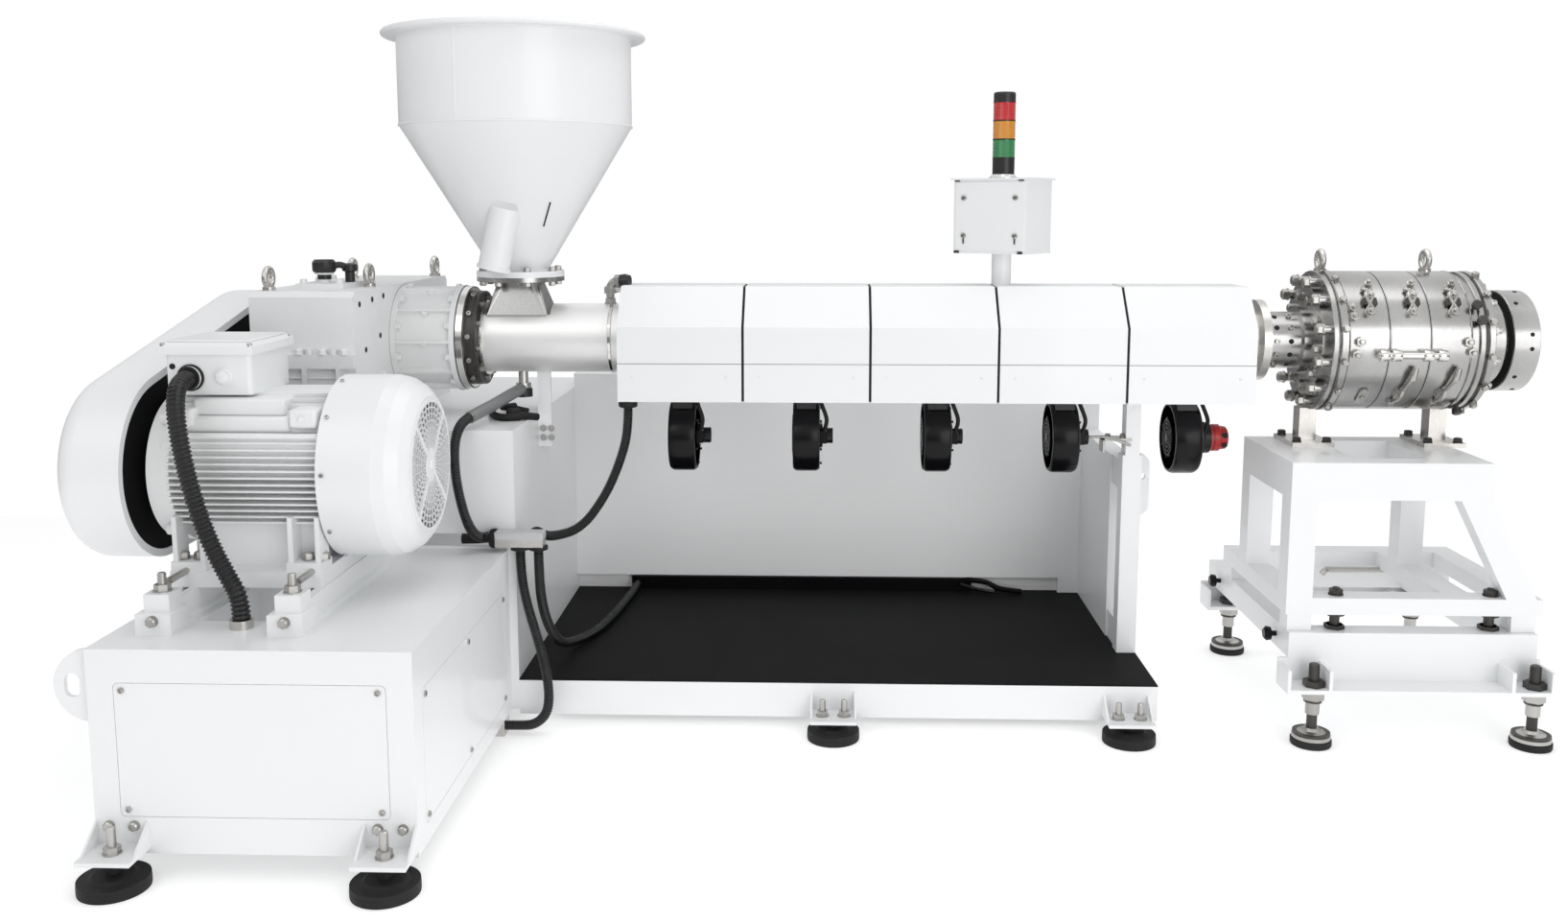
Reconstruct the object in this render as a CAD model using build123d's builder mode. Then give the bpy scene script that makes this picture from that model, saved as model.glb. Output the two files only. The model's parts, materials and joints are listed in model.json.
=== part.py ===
"""Single-screw plastic extruder: drive, gearbox, hopper, barrel, annular die and die trolley.

Millimetres. X runs along the machine from the belt guard to the die, Y runs away from the
operator and Z is up. The floor is Z = 0 and the origin lies under the middle of the machine.
"""
from build123d import *
from math import cos, pi, radians, sin, sqrt, tan
import os

# Overall datum: the barrel axis and the front plane of bed and pedestal
machine_left = -2021.0
barrel_y = 267.5
barrel_z = 1151.0
bed_front_y = -92.0
machine_back_y = 1162.0
seat_gap = 0.3

# Drive base
base_left = -1826.0
pedestal_left = -1846.0
base_width = 762.0
base_depth = 940.0
base_bottom_z = 60.0
base_top_z = 554.0
wall_t = 6.0
panel_t = 3.0
panel_gap = 1.5
front_panel_w = 634.0
front_panel_h = 322.0
front_panel_z = 312.0
side_panel_w = 800.0
side_panel_h = 330.0
side_panel_z = 275.0
cable_opening_w = 200.0
cable_opening_d = 450.0
cable_opening_front = 220.0
lug_t = 12.0
lug_r = 88.0
lug_eye_w = 36.0
lug_eye_h = 58.0
lug_z = 460.0

# Levelling feet of drive base and bed
pad_t = 28.0
base_pad_r = 80.0
bed_pad_r = 77.0
stud_r = 8.0
foot_plate_t = 10.0
foot_rise = 14.0
foot_reach = 50.0
foot_gusset_h = 66.0
base_foot_span = 634.0
base_foot_w = 128.0
bed_foot_x = (-95.0, 776.0)
bed_foot_w = 136.0

# Motor slide rails and motor
rail_w = 86.0
rail_h = 70.0
rail_span = 316.0
rail_middle = 273.0
rail_front_gap = 120.0
rail_slot_w = 16.0
rail_slot_d = 14.0
rail_block_h = 24.0
rail_block_l = 66.0
motor_y = -542.0
motor_z = 895.0
motor_body_left = -1751.0
motor_body_l = 383.0
motor_core_r = 168.0
fin_tip_r = 212.0
fin_t = 4.5
fin_pitch = 17.0
fin_count = 13
fin_drop = 14.0
top_fin_count = 5
sole_t = 40.0
sole_d = 440.0
sole_w = 380.0
foot_span_y = 356.0
shield_r = 190.0
shield_flange_r = 196.0
shield_flange_t = 20.0
shaft_r = 30.0
cowl_r = 236.0
cowl_straight = 134.0
cowl_cone = 82.0
cowl_t = 3.0
grille_r = 168.0
grille_t = 2.0
grille_hole = 13.0
grille_pitch = 18.0
grille_hub_r = 34.0
tbox_w = 217.0
tbox_d = 244.0
tbox_h = 102.0
tbox_rise = 198.5
tbox_front = 120.0
tbox_left_gap = 29.0
lid_t = 30.0
lid_overhang = 10.0
gland_r = 30.0
gland_l = 16.0

# Belt guard
guard_depth = 175.0
guard_t = 4.0
guard_round = 56.0
guard_lip = 20.0
guard_small_y = -556.0
guard_small_r = 240.0
guard_big_r = 322.0
guard_big_y = 187.5
guard_big_z = 982.0
guard_plate_t = 6.0
guard_plate_inset = 4.0

# Gearbox and its pedestal
gear_left = -1761.0
gear_right = -1461.0
gear_front_y = -200.0
gear_depth = 947.0
gear_split_z = 1126.0
gear_top_z = 1324.0
gear_flange_t = 20.0
gear_flange_reach = 18.0
pedestal_right = -1041.0
pedestal_top_z = 910.0
pedestal_slot_z = 600.0
pedestal_slot_end = 80.0
hub_r = 70.0

# Thrust housing, steel ring and clamp, chained along the barrel axis
thrust_l = 198.0
thrust_r = 150.0
thrust_flange_r = 166.0
thrust_flange_t = 16.0
thrust_rib_t = 9.0
thrust_rib_count = 10
ring_l = 27.0
ring_r = 162.0
clamp_l = 25.0
clamp_r = 148.0

# Feed section, throat adapter and hopper
feed_l = 452.0
feed_r = 108.5
throat_offset = 124.0
throat_seat_h = 78.0
throat_seat_l = 210.0
throat_base = 196.0
throat_top = 128.0
throat_top_z = 1332.0
throat_flange_t = 14.0
throat_bore_r = 48.0
hopper_flange_r = 136.0
hopper_flange_t = 18.0
hopper_neck_r = 85.0
hopper_r = 356.0
hopper_shoulder_z = 1810.0
hopper_rim_r = 397.0
hopper_top_z = 2090.0
rim_t = 14.0
hopper_wall_t = 4.0
chute_r = 47.0
chute_t = 3.0
chute_tilt = 13.0
chute_top_z = 1558.0
chute_l = 190.0
chute_y = 88.0

# Barrel and covers
barrel_r = 90.0
cover_count = 5
cover_pitch = 386.0
cover_gap = 8.0
cover_t = 3.0
cover_half_w = 200.0
cover_top_half_w = 92.0
cover_up = 169.0
cover_bevel_z = 51.0
cover_seam_z = -60.0
cover_down = 177.0
barrel_nose_l = 41.0

# Cooling blowers under the covers
blower_r = 112.0
blower_w = 84.0
blower_round = 12.0
blower_shifts = (-6.0, -2.0, 23.0, 33.0, 25.0)
blower_z = 840.0
blower_inlet_r = 62.0
blower_neck = 62.0
blower_motor_r = 24.0
blower_motor_l = 42.0
last_motor_r = 48.0
last_motor_l = 42.0
red_cap_r = 42.0
red_cap_l = 56.0
red_cap_tip_r = 36.0

# Bed, rear cabinet and end frame
bed_right = 869.0
bed_bottom_z = 44.0
bed_top_z = 153.0
bed_plate_t = 4.0
bed_beam_w = 80.0
cabinet_front_y = 880.0
cabinet_right = 736.0
cabinet_bottom_z = 208.0
cabinet_top_z = 960.0
plinth_setback = 30.0
end_post_w = 60.0
end_post_front_y = 207.0
end_window_back_y = 380.0
end_panel_drop = 30.0
end_frame_top_z = 792.0
end_rail_h = 90.0
column_w = 44.0
end_lug_r = 36.0
end_lug_z = 690.0

# Signal column on the covers
post_x = 430.0
post_back = 32.5
post_r = 30.0
signal_box_z = 1419.0
signal_box_w = 249.0
signal_box_d = 175.0
signal_box_h = 232.0
signal_box_turn = -34.0
signal_r = 34.0
signal_base_h = 63.0
lens_h = 57.0
signal_cap_h = 30.0

# Die on the barrel axis
nose_flange_l = 24.0
nose_flange_r = 125.0
neck_r = 88.0
neck_l = 103.0
collar_r = 104.0
collar_l = 30.0
hub_plate_r = 170.0
hub_plate_l = 20.0
back_flange_r = 213.0
back_flange_l = 42.0
band_count = 3
band_l = 120.0
band_gap = 3.0
die_r = 206.0
band_t = 7.0
front_collar_l = 26.0
front_flange_r = 210.0
front_flange_l = 42.0
core_r = 96.0
core_l = 110.0
nose_ring_lap = 26.0
inner_ring_r = 135.0
inner_ring_l = 52.0
inner_ring_gap = 18.0
nose_ring_r = 154.0
nose_ring_bore_r = 142.0
nose_ring_l = 78.0
die_bolt_r = 9.0
die_bolt_count = 12
die_leg_w = 56.0
die_leg_half_l = 26.0
die_leg_x = (1387.0, 1788.0)

# Die trolley
trolley_left = 1236.0
trolley_width = 578.0
trolley_front_y = -82.0
trolley_depth = 459.0
trolley_top_z = 826.0
trolley_beam_h = 110.0
trolley_tube = 76.0
top_cross_w = 205.0
ring_frame_right = 1982.0
ring_frame_back_y = 545.0
ring_frame_z = 372.0
ring_frame_h = 50.0
low_frame_left = 1246.0
low_frame_right = 1968.0
low_frame_back_y = 740.0
low_frame_z = 244.0
low_frame_h = 76.0
channel_right = 1979.0
channel_bottom_z = 164.0
channel_reach = 100.0
trolley_foot_x = (1306.0, 1941.0)
trolley_foot_y = (-142.0, 690.0)
trolley_cheek_x = (1342.0, 1862.0)
trolley_jack_x = (1395.0, 1847.0)
trolley_screw_top_z = 242.0
trolley_pad_r = 56.0
trolley_stud_r = 15.0

# Conduits: a free corrugated hose from each fitting, given by the points of its route
motor_conduit_r = 22.0
conduit_r = 15.0
gland_reach = 14.0
gland_out_r = 28.0
feed_pipe_r = 16.0
feed_pipe_l = 352.0
feed_support_z = 802.0
junction_z = 570.0
junction_h = 44.0
motor_conduit_route = ((-1716, -678, 1137), (-1716, -732, 1137), (-1702, -784, 1078), (-1680, -812, 990),
                       (-1657, -826, 900), (-1632, -832, 816), (-1602, -838, 742), (-1564, -850, 678),
                       (-1530, -862, 626), (-1530, -862, 576))
feed_conduit_route = ((-1176, -70, 944), (-1188, -116, 938), (-1198, -158, 882), (-1192, -174, 788),
                      (-1176, -180, 708), (-1160, -176, 648), (-1146, -150, 608), (-1128, -116, 592),
                      (-1092, -116, 592))
cover_conduit_route = ((-727, 95, 960), (-727, 95, 884), (-752, 92, 788), (-798, 74, 680), (-866, 30, 588),
                       (-946, -16, 572), (-978, -52, 592), (-978, -92, 592))
floor_conduit_route = ((-1022, -116, 570), (-1022, -116, 486), (-1002, -132, 394), (-972, -143, 300),
                       (-946, -148, 200), (-938, -150, 118), (-948, -150, 64), (-986, -145, 30),
                       (-1030, -140, 26), (-1070, -140, 26))
cabinet_conduit_route = ((-968, -116, 570), (-968, -116, 488), (-968, -92, 392), (-962, -24, 292),
                         (-948, 86, 204), (-922, 214, 172), (-872, 346, 168), (-846, 520, 169),
                         (-832, 680, 168), (-820, 800, 171), (-820, 896, 171))

# Places that follow from the sizes above
base_right = base_left + base_width
base_front_y = bed_front_y - base_depth
base_mid_x = base_left + base_width / 2
rail_mid_x = base_left + rail_middle
rail_top_z = base_top_z + rail_h
motor_body_right = motor_body_left + motor_body_l
motor_mid_x = motor_body_left + motor_body_l / 2
gear_back_y = gear_front_y + gear_depth
thrust_x = gear_right
ring_x = thrust_x + thrust_l
clamp_x = ring_x + ring_l
feed_x = clamp_x + clamp_l
cover_x = feed_x + feed_l
cover_end_x = cover_x + cover_count * cover_pitch
nose_flange_x = cover_end_x + barrel_nose_l
neck_x = nose_flange_x + nose_flange_l
collar_x = neck_x + neck_l
hub_plate_x = collar_x + collar_l
back_flange_x = hub_plate_x + hub_plate_l
die_x = back_flange_x + back_flange_l
front_collar_x = die_x + band_count * band_l
front_flange_x = front_collar_x + front_collar_l
core_x = front_flange_x + front_flange_l
inner_ring_x = core_x + inner_ring_gap
nose_ring_x = core_x + core_l - nose_ring_lap
hopper_x = feed_x + throat_offset
seat_z = barrel_z + throat_seat_h
hopper_flange_z = throat_top_z + throat_flange_t
hopper_cone_z = hopper_flange_z + hopper_flange_t
cover_top_z = barrel_z + cover_up
cover_bottom_z = barrel_z - cover_down
trolley_right = trolley_left + trolley_width
trolley_back_y = trolley_front_y + trolley_depth
ring_frame_top_z = ring_frame_z + ring_frame_h
low_frame_top_z = low_frame_z + low_frame_h
beam_bottom_z = trolley_top_z - trolley_beam_h


def block(x0, x1, y0, y1, z0, z1, mode=Mode.ADD):
    """Add a box between two corners to the part being built."""
    with Locations(((x0 + x1) / 2, (y0 + y1) / 2, (z0 + z1) / 2)):
        Box(x1 - x0, y1 - y0, z1 - z0, mode=mode)


def rod_z(x, y, z0, z1, radius, mode=Mode.ADD):
    """Add an upright round bar to the part being built."""
    with Locations((x, y, (z0 + z1) / 2)):
        Cylinder(radius, z1 - z0, mode=mode)


def rod_x(x0, x1, y, z, radius, mode=Mode.ADD):
    """Add a round bar along the machine to the part being built."""
    with Locations(((x0 + x1) / 2, y, z)):
        Cylinder(radius, x1 - x0, rotation=(0, 90, 0), mode=mode)


def rod_y(x, y0, y1, z, radius, mode=Mode.ADD):
    """Add a round bar across the machine to the part being built."""
    with Locations((x, (y0 + y1) / 2, z)):
        Cylinder(radius, y1 - y0, rotation=(90, 0, 0), mode=mode)


def bolts_x(x0, x1, circle_r, count, radius, y=barrel_y, z=barrel_z, start=0.0):
    """Add a ring of bolts along X round an axis to the part being built."""
    for step in range(count):
        turn = radians(start + step * 360.0 / count)
        rod_x(x0, x1, y + circle_r * cos(turn), z + circle_r * sin(turn), radius)


def bar_between(start, end, radius):
    """Add a round bar from one point to another to the part being built."""
    reach = end - start
    middle = Plane(origin=start + reach * 0.5, z_dir=reach)
    with Locations(middle.location):
        Cylinder(radius, reach.length)


def conduit(route, hose_r):
    """Sweep a hose along straight runs joined by tangent arcs, each as large as its runs allow."""
    corners = [Vector(*point) for point in route]
    bends = []
    for before, corner, after in zip(corners, corners[1:], corners[2:]):
        half_turn = radians((corner - before).get_angle(after - corner) / 2)
        shorter = sorted([(corner - before).length, (after - corner).length])[0]
        bends.append(0.45 * shorter / tan(half_turn))
    with BuildPart() as hose:
        with BuildLine() as path:
            FilletPolyline(*corners, radius=bends)
        with BuildSketch(Plane(origin=corners[0], z_dir=corners[1] - corners[0])):
            Circle(hose_r)
        sweep(path=path.wires()[0])
    length = path.wires()[0].length
    print("hose length", round(length, 1), "bend radii", [round(bend) for bend in bends],
          "volume ratio", round(hose.part.volume / (pi * hose_r ** 2 * length), 4))
    return hose


# Drive base walls: a welded box with bolted access panels let flush into it
with BuildPart() as drive_base_front_wall:
    block(base_left, base_right, base_front_y, base_front_y + wall_t, base_bottom_z, base_top_z - wall_t)
    with BuildSketch(Plane.XZ.offset(-base_front_y)):
        with Locations((base_mid_x, front_panel_z)):
            RectangleRounded(front_panel_w + 2 * panel_gap, front_panel_h + 2 * panel_gap, 12)
    extrude(amount=-panel_t, mode=Mode.SUBTRACT)
drive_base_front_wall.part.label = "drive_base_front_wall"

with BuildPart() as drive_base_side_walls:
    wall_front = base_front_y + wall_t
    block(base_left, base_left + wall_t, wall_front, bed_front_y, base_bottom_z, base_top_z - wall_t)
    block(base_right - wall_t, base_right, wall_front, bed_front_y, base_bottom_z, base_top_z - wall_t)
    with BuildSketch(Plane.YZ.offset(base_right)):
        with Locations((base_front_y + base_depth / 2, side_panel_z)):
            RectangleRounded(side_panel_w + 2 * panel_gap, side_panel_h + 2 * panel_gap, 12)
    extrude(amount=-panel_t, mode=Mode.SUBTRACT)
drive_base_side_walls.part.label = "drive_base_side_walls"

with BuildPart() as base_access_panels:
    with BuildSketch(Plane.XZ.offset(-base_front_y)):
        with Locations((base_mid_x, front_panel_z)):
            RectangleRounded(front_panel_w, front_panel_h, 12)
    extrude(amount=-panel_t)
    with BuildSketch(Plane.YZ.offset(base_right)):
        with Locations((base_front_y + base_depth / 2, side_panel_z)):
            RectangleRounded(side_panel_w, side_panel_h, 12)
    extrude(amount=-panel_t)
base_access_panels.part.label = "base_access_panels"

with BuildPart() as drive_base_top_plate:
    opening_y0 = base_front_y + cable_opening_front
    opening_y1 = opening_y0 + cable_opening_d
    block(base_left, base_right, base_front_y, bed_front_y, base_top_z - wall_t, base_top_z)
    block(rail_mid_x - cable_opening_w / 2, rail_mid_x + cable_opening_w / 2, opening_y0, opening_y1,
          base_top_z - 2 * wall_t, base_top_z + wall_t, mode=Mode.SUBTRACT)
drive_base_top_plate.part.label = "drive_base_top_plate"

# Lifting lugs: plates with a rounded outer edge and an eye, welded to the left wall
with BuildPart() as lifting_lugs:
    for lug_y in (base_front_y + 20.0, bed_front_y - 20.0 - lug_t):
        with BuildSketch(Plane.XZ.offset(-lug_y)):
            with Locations((base_left, lug_z)):
                Circle(lug_r)
            with Locations((base_left + lug_r, lug_z)):
                Rectangle(2 * lug_r, 2 * lug_r, mode=Mode.SUBTRACT)
            with Locations((base_left - lug_r / 2, lug_z)):
                SlotOverall(lug_eye_h, lug_eye_w, rotation=90, mode=Mode.SUBTRACT)
        extrude(amount=-lug_t)
    with BuildSketch(Plane.XZ.offset(-end_post_front_y - end_post_w)):
        with Locations((bed_right, end_lug_z)):
            SlotCenterToCenter(128, 2 * end_lug_r, rotation=90)
        with Locations((bed_right - 50, end_lug_z)):
            Rectangle(100, 300, mode=Mode.SUBTRACT)
        with Locations((bed_right + 12, end_lug_z + 26)):
            Circle(11, mode=Mode.SUBTRACT)
    extrude(amount=lug_t)
lifting_lugs.part.label = "lifting_lugs"

# Foot brackets: a plate with two gussets, bolted down through a stud to a round pad
foot_places = []
rear_foot_places = []
pedestal_foot_x = (pedestal_left + 100, pedestal_right - 100)
for foot_x in (pedestal_right + 120, bed_right - 120):
    rear_foot_places.append((foot_x, machine_back_y - bed_beam_w, bed_bottom_z))
for foot_x in pedestal_foot_x:
    rear_foot_places.append((foot_x, machine_back_y - bed_pad_r - wall_t, base_bottom_z))
for side in (-1, 1):
    foot_places.append((base_mid_x + side * base_foot_span / 2, base_front_y, base_foot_w, base_bottom_z))
for foot_x in bed_foot_x:
    foot_places.append((foot_x, bed_front_y, bed_foot_w, bed_bottom_z))

with BuildPart() as foot_brackets:
    for foot_x, wall_y, plate_w, wall_z in foot_places:
        plate_y = wall_y - 2 * foot_reach
        plate_z = wall_z + foot_rise
        block(foot_x - plate_w / 2, foot_x + plate_w / 2, plate_y, wall_y, plate_z,
              plate_z + foot_plate_t)
        for side in (-1, 1):
            gusset_x = foot_x + side * (plate_w / 2 - 3.0)
            with BuildSketch(Plane.YZ.offset(gusset_x - 3.0)):
                with BuildLine():
                    Polyline((wall_y, plate_z), (wall_y, plate_z + foot_gusset_h),
                             (plate_y + 14, plate_z), close=True)
                make_face()
            extrude(amount=6.0)
    for foot_x in pedestal_foot_x:
        block(foot_x - 50, foot_x + 50, machine_back_y - wall_t - 2 * bed_pad_r,
              machine_back_y - wall_t, base_bottom_z, base_bottom_z + foot_plate_t)
foot_brackets.part.label = "foot_brackets"

with BuildPart() as foot_pads:
    for foot_x, wall_y, plate_w, wall_z in foot_places:
        pad_r = base_pad_r if wall_y == base_front_y else bed_pad_r
        pad_y = wall_y - foot_reach
        rod_z(foot_x, pad_y, 0, pad_t, pad_r)
        rod_z(foot_x, pad_y, pad_t, wall_z + foot_rise, 2 * stud_r)
    for foot_x, foot_y, under_z in rear_foot_places:
        rod_z(foot_x, foot_y, 0, pad_t, bed_pad_r)
        rod_z(foot_x, foot_y, pad_t, under_z, 2 * stud_r)
foot_pads.part.label = "foot_pads"

# Motor slide rails with a T-slot and a raised clamp block at the front end
with BuildPart() as motor_rails:
    rail_front = base_front_y + rail_front_gap
    for side in (-1, 1):
        rail_x = rail_mid_x + side * rail_span / 2
        half = rail_w / 2
        with BuildSketch(Plane.XZ.offset(-rail_front)):
            with BuildLine():
                Polyline((rail_x - half, base_top_z), (rail_x + half, base_top_z),
                         (rail_x + half, base_top_z + 14), (rail_x + half - 12, base_top_z + 20),
                         (rail_x + half - 12, rail_top_z), (rail_x + rail_slot_w / 2, rail_top_z),
                         (rail_x + rail_slot_w / 2, rail_top_z - rail_slot_d),
                         (rail_x - rail_slot_w / 2, rail_top_z - rail_slot_d),
                         (rail_x - rail_slot_w / 2, rail_top_z), (rail_x - half + 12, rail_top_z),
                         (rail_x - half + 12, base_top_z + 20), (rail_x - half, base_top_z + 14),
                         close=True)
            make_face()
        extrude(amount=-(bed_front_y - rail_front))
        block(rail_x - half, rail_x + half, rail_front - 22, rail_front + rail_block_l,
              base_top_z, rail_top_z - 18)
        block(rail_x - half + 12, rail_x + half - 12, rail_front, rail_front + rail_block_l,
              rail_top_z - 20, rail_top_z + rail_block_h)
motor_rails.part.label = "motor_rails"

# Motor: a finned body on four feet over one sole plate
with BuildPart() as motor_body:
    with BuildSketch(Plane.YZ.offset(motor_body_left)):
        with Locations((motor_y, motor_z)):
            Circle(motor_core_r)
        for index in range(fin_count):
            rise = (index - fin_count // 2) * fin_pitch - fin_drop
            reach = sqrt(fin_tip_r ** 2 - rise ** 2)
            with Locations((motor_y, motor_z + rise)):
                Rectangle(2 * reach, fin_t)
        for index in range(top_fin_count):
            lean = 96.0 + index * 21.0
            height = sqrt(fin_tip_r ** 2 - lean ** 2)
            for side in (-1, 1):
                with Locations((motor_y + side * lean, motor_z + height / 2)):
                    Rectangle(fin_t, height)
        with Locations((motor_y, motor_z + 90)):
            Rectangle(2 * 82.0, 2 * (tbox_rise - 90))
    extrude(amount=motor_body_l)
    for side_x in (-1, 1):
        for side_y in (-1, 1):
            foot_x = motor_mid_x + side_x * (motor_body_l / 2 - 46)
            foot_y = motor_y + side_y * foot_span_y / 2
            block(foot_x - 44, foot_x + 44, foot_y - 36, foot_y + 36, rail_top_z + sole_t,
                  rail_top_z + sole_t + 22)
            block(foot_x - 40, foot_x - 28, foot_y - 30, foot_y + 30,
                  rail_top_z + sole_t, motor_z - 96)
            block(foot_x + 28, foot_x + 40, foot_y - 30, foot_y + 30,
                  rail_top_z + sole_t, motor_z - 96)
    block(motor_body_left + 40, motor_body_right - 40, motor_y - 150, motor_y + 150,
          rail_top_z + sole_t, motor_z - 90)
    block(motor_mid_x - sole_w / 2, motor_mid_x + sole_w / 2, motor_y - sole_d / 2,
          motor_y + sole_d / 2, rail_top_z, rail_top_z + sole_t)
motor_body.part.label = "motor_body"

with BuildPart() as motor_end_shield:
    shield_l = 82.0
    rod_x(motor_body_left - shield_flange_t, motor_body_left, motor_y, motor_z, shield_flange_r)
    rod_x(motor_body_left - 60, motor_body_left - shield_flange_t, motor_y, motor_z, shield_r)
    rod_x(motor_body_left - shield_l, motor_body_left - 60, motor_y, motor_z, 120)
    rod_x(machine_left + guard_depth, motor_body_left - shield_l, motor_y, motor_z, shaft_r)
    for turn in (45, 135, 225, 315):
        lug_y = motor_y + (shield_flange_r + 4) * cos(radians(turn))
        lug_up = motor_z + (shield_flange_r + 4) * sin(radians(turn))
        rod_x(motor_body_left - shield_flange_t - 14, motor_body_left, lug_y, lug_up, 15)
motor_end_shield.part.label = "motor_end_shield"

with BuildPart() as motor_fan_cowl:
    cowl_face_x = motor_body_right + cowl_straight + cowl_cone
    with BuildSketch(Plane.XZ.offset(-motor_y)):
        with BuildLine():
            shoulder_x = motor_body_right + cowl_straight
            outer = motor_z + cowl_r
            Polyline((motor_body_right, outer - cowl_t), (motor_body_right, outer),
                     (shoulder_x, outer), (shoulder_x + cowl_cone * 0.4, outer - 8),
                     (shoulder_x + cowl_cone * 0.75, outer - 26), (cowl_face_x - 6, motor_z + grille_r + 24),
                     (cowl_face_x, motor_z + grille_r + 14), (cowl_face_x, motor_z + grille_r),
                     (cowl_face_x - cowl_t, motor_z + grille_r),
                     (cowl_face_x - cowl_t, motor_z + grille_r + 12),
                     (cowl_face_x - 9, motor_z + grille_r + 22),
                     (shoulder_x + cowl_cone * 0.75 - 2, outer - 29),
                     (shoulder_x + cowl_cone * 0.4 - 1, outer - 11), (shoulder_x, outer - cowl_t), close=True)
        make_face()
    revolve(axis=Axis((0, motor_y, motor_z), (1, 0, 0)))
    with BuildSketch(Plane.YZ.offset(motor_body_right)):
        with Locations((motor_y, motor_z)):
            Circle(cowl_r - cowl_t)
            Circle(fin_tip_r - 14, mode=Mode.SUBTRACT)
    extrude(amount=cowl_t)
motor_fan_cowl.part.label = "motor_fan_cowl"

with BuildPart() as motor_fan_grille:
    rod_x(cowl_face_x - cowl_t, cowl_face_x - cowl_t + grille_t, motor_y, motor_z, grille_r)
    cells = int(2 * grille_r / grille_pitch) + 1
    with BuildSketch(Plane.YZ.offset(cowl_face_x - cowl_t)):
        for column in range(cells):
            for line in range(cells):
                dy = (column - cells // 2) * grille_pitch
                dz = (line - cells // 2) * grille_pitch
                span = sqrt(dy * dy + dz * dz)
                if grille_hub_r + grille_hole < span < grille_r - grille_hole and abs(dy) > 1:
                    with Locations((motor_y + dy, motor_z + dz)):
                        Rectangle(grille_hole, grille_hole, rotation=20)
    extrude(amount=grille_t, mode=Mode.SUBTRACT)
motor_fan_grille.part.label = "motor_fan_grille"

with BuildPart() as motor_terminal_box:
    tbox_z = motor_z + tbox_rise
    tbox_x = motor_body_left - tbox_left_gap
    tbox_y = motor_y - tbox_front
    block(tbox_x, tbox_x + tbox_w, tbox_y, tbox_y + tbox_d, tbox_z, tbox_z + tbox_h)
    fillet(motor_terminal_box.edges().filter_by(Axis.Z), 12)
    rod_y(tbox_x + 150, tbox_y - 8, tbox_y, tbox_z + 46, 17)
    block(tbox_x - lid_overhang, tbox_x + tbox_w + lid_overhang, tbox_y - lid_overhang,
          tbox_y + tbox_d + lid_overhang, tbox_z + tbox_h, tbox_z + tbox_h + lid_t)
    chamfer(motor_terminal_box.faces().sort_by(Axis.Z)[-1].edges(), 9)
    gland_x = tbox_x + 64.0
    gland_z = tbox_z + 43.5
    rod_y(gland_x, tbox_y - gland_l, tbox_y, gland_z, gland_r)
motor_terminal_box.part.label = "motor_terminal_box"


def guard_outline(inset):
    """Sketch the hull of the two pulley circles, pulled in by inset."""
    with Locations((guard_small_y, motor_z)):
        Circle(guard_small_r - inset)
    with Locations((guard_big_y, guard_big_z)):
        Circle(guard_big_r - inset)
    make_hull()


# Belt guard: a deep-drawn cover, open towards the gearbox, with a dark plate behind it
with BuildPart() as guard_hollow:
    with BuildSketch(Plane.YZ.offset(machine_left + guard_t)):
        guard_outline(guard_t)
    extrude(amount=guard_depth)
    fillet(guard_hollow.faces().sort_by(Axis.X)[0].edges(), guard_round - guard_t)

with BuildPart() as belt_guard_cover:
    with BuildSketch(Plane.YZ.offset(machine_left)):
        guard_outline(0)
    extrude(amount=guard_depth)
    fillet(belt_guard_cover.faces().sort_by(Axis.X)[0].edges(), guard_round)
    add(guard_hollow.part, mode=Mode.SUBTRACT)
    with BuildSketch(Plane.YZ.offset(machine_left + guard_depth - guard_t)):
        guard_outline(guard_t)
    extrude(amount=guard_t)
    with BuildSketch(Plane.YZ.offset(machine_left + guard_depth - guard_t)):
        guard_outline(guard_lip)
    extrude(amount=guard_t, mode=Mode.SUBTRACT)
belt_guard_cover.part.label = "belt_guard_cover"

with BuildPart() as belt_guard_back_plate:
    plate_x = machine_left + guard_depth - guard_plate_inset
    with BuildSketch(Plane.YZ.offset(plate_x - guard_plate_t)):
        guard_outline(guard_t)
    extrude(amount=guard_plate_t)
    rod_x(plate_x, machine_left + guard_depth, motor_y, motor_z, 44)
    rod_x(plate_x, gear_left, guard_big_y, guard_big_z, hub_r)
belt_guard_back_plate.part.label = "belt_guard_back_plate"

# Gearbox pedestal: a welded box with a dark slot above the drive base
with BuildPart() as gearbox_pedestal:
    block(pedestal_left, pedestal_right, bed_front_y, machine_back_y, base_bottom_z, pedestal_top_z)
    block(pedestal_left + wall_t, pedestal_right - wall_t, bed_front_y + wall_t, machine_back_y - wall_t,
          base_bottom_z, pedestal_top_z - wall_t, mode=Mode.SUBTRACT)
    block(pedestal_left + 40, pedestal_right - pedestal_slot_end, bed_front_y, bed_front_y + wall_t, base_top_z + 8,
          pedestal_slot_z, mode=Mode.SUBTRACT)
gearbox_pedestal.part.label = "gearbox_pedestal"

# Gearbox: two case halves with bolting flanges, an inspection cover and lifting eyes
with BuildPart() as gearbox_lower_case:
    case_front = gear_front_y
    block(gear_left, gear_right, bed_front_y + 10, gear_back_y, pedestal_top_z, gear_split_z)
    block(gear_left, gear_right, case_front, bed_front_y + 10, pedestal_top_z + 60, gear_split_z)
    block(gear_left, gear_right, case_front - gear_flange_reach, gear_back_y + gear_flange_reach,
          gear_split_z - gear_flange_t, gear_split_z)
    for rib_x in (gear_left + 40, (gear_left + gear_right) / 2, gear_right - 52):
        block(rib_x, rib_x + 12, case_front - gear_flange_reach, case_front,
              pedestal_top_z + 60, gear_split_z - gear_flange_t)
gearbox_lower_case.part.label = "gearbox_lower_case"

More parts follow.
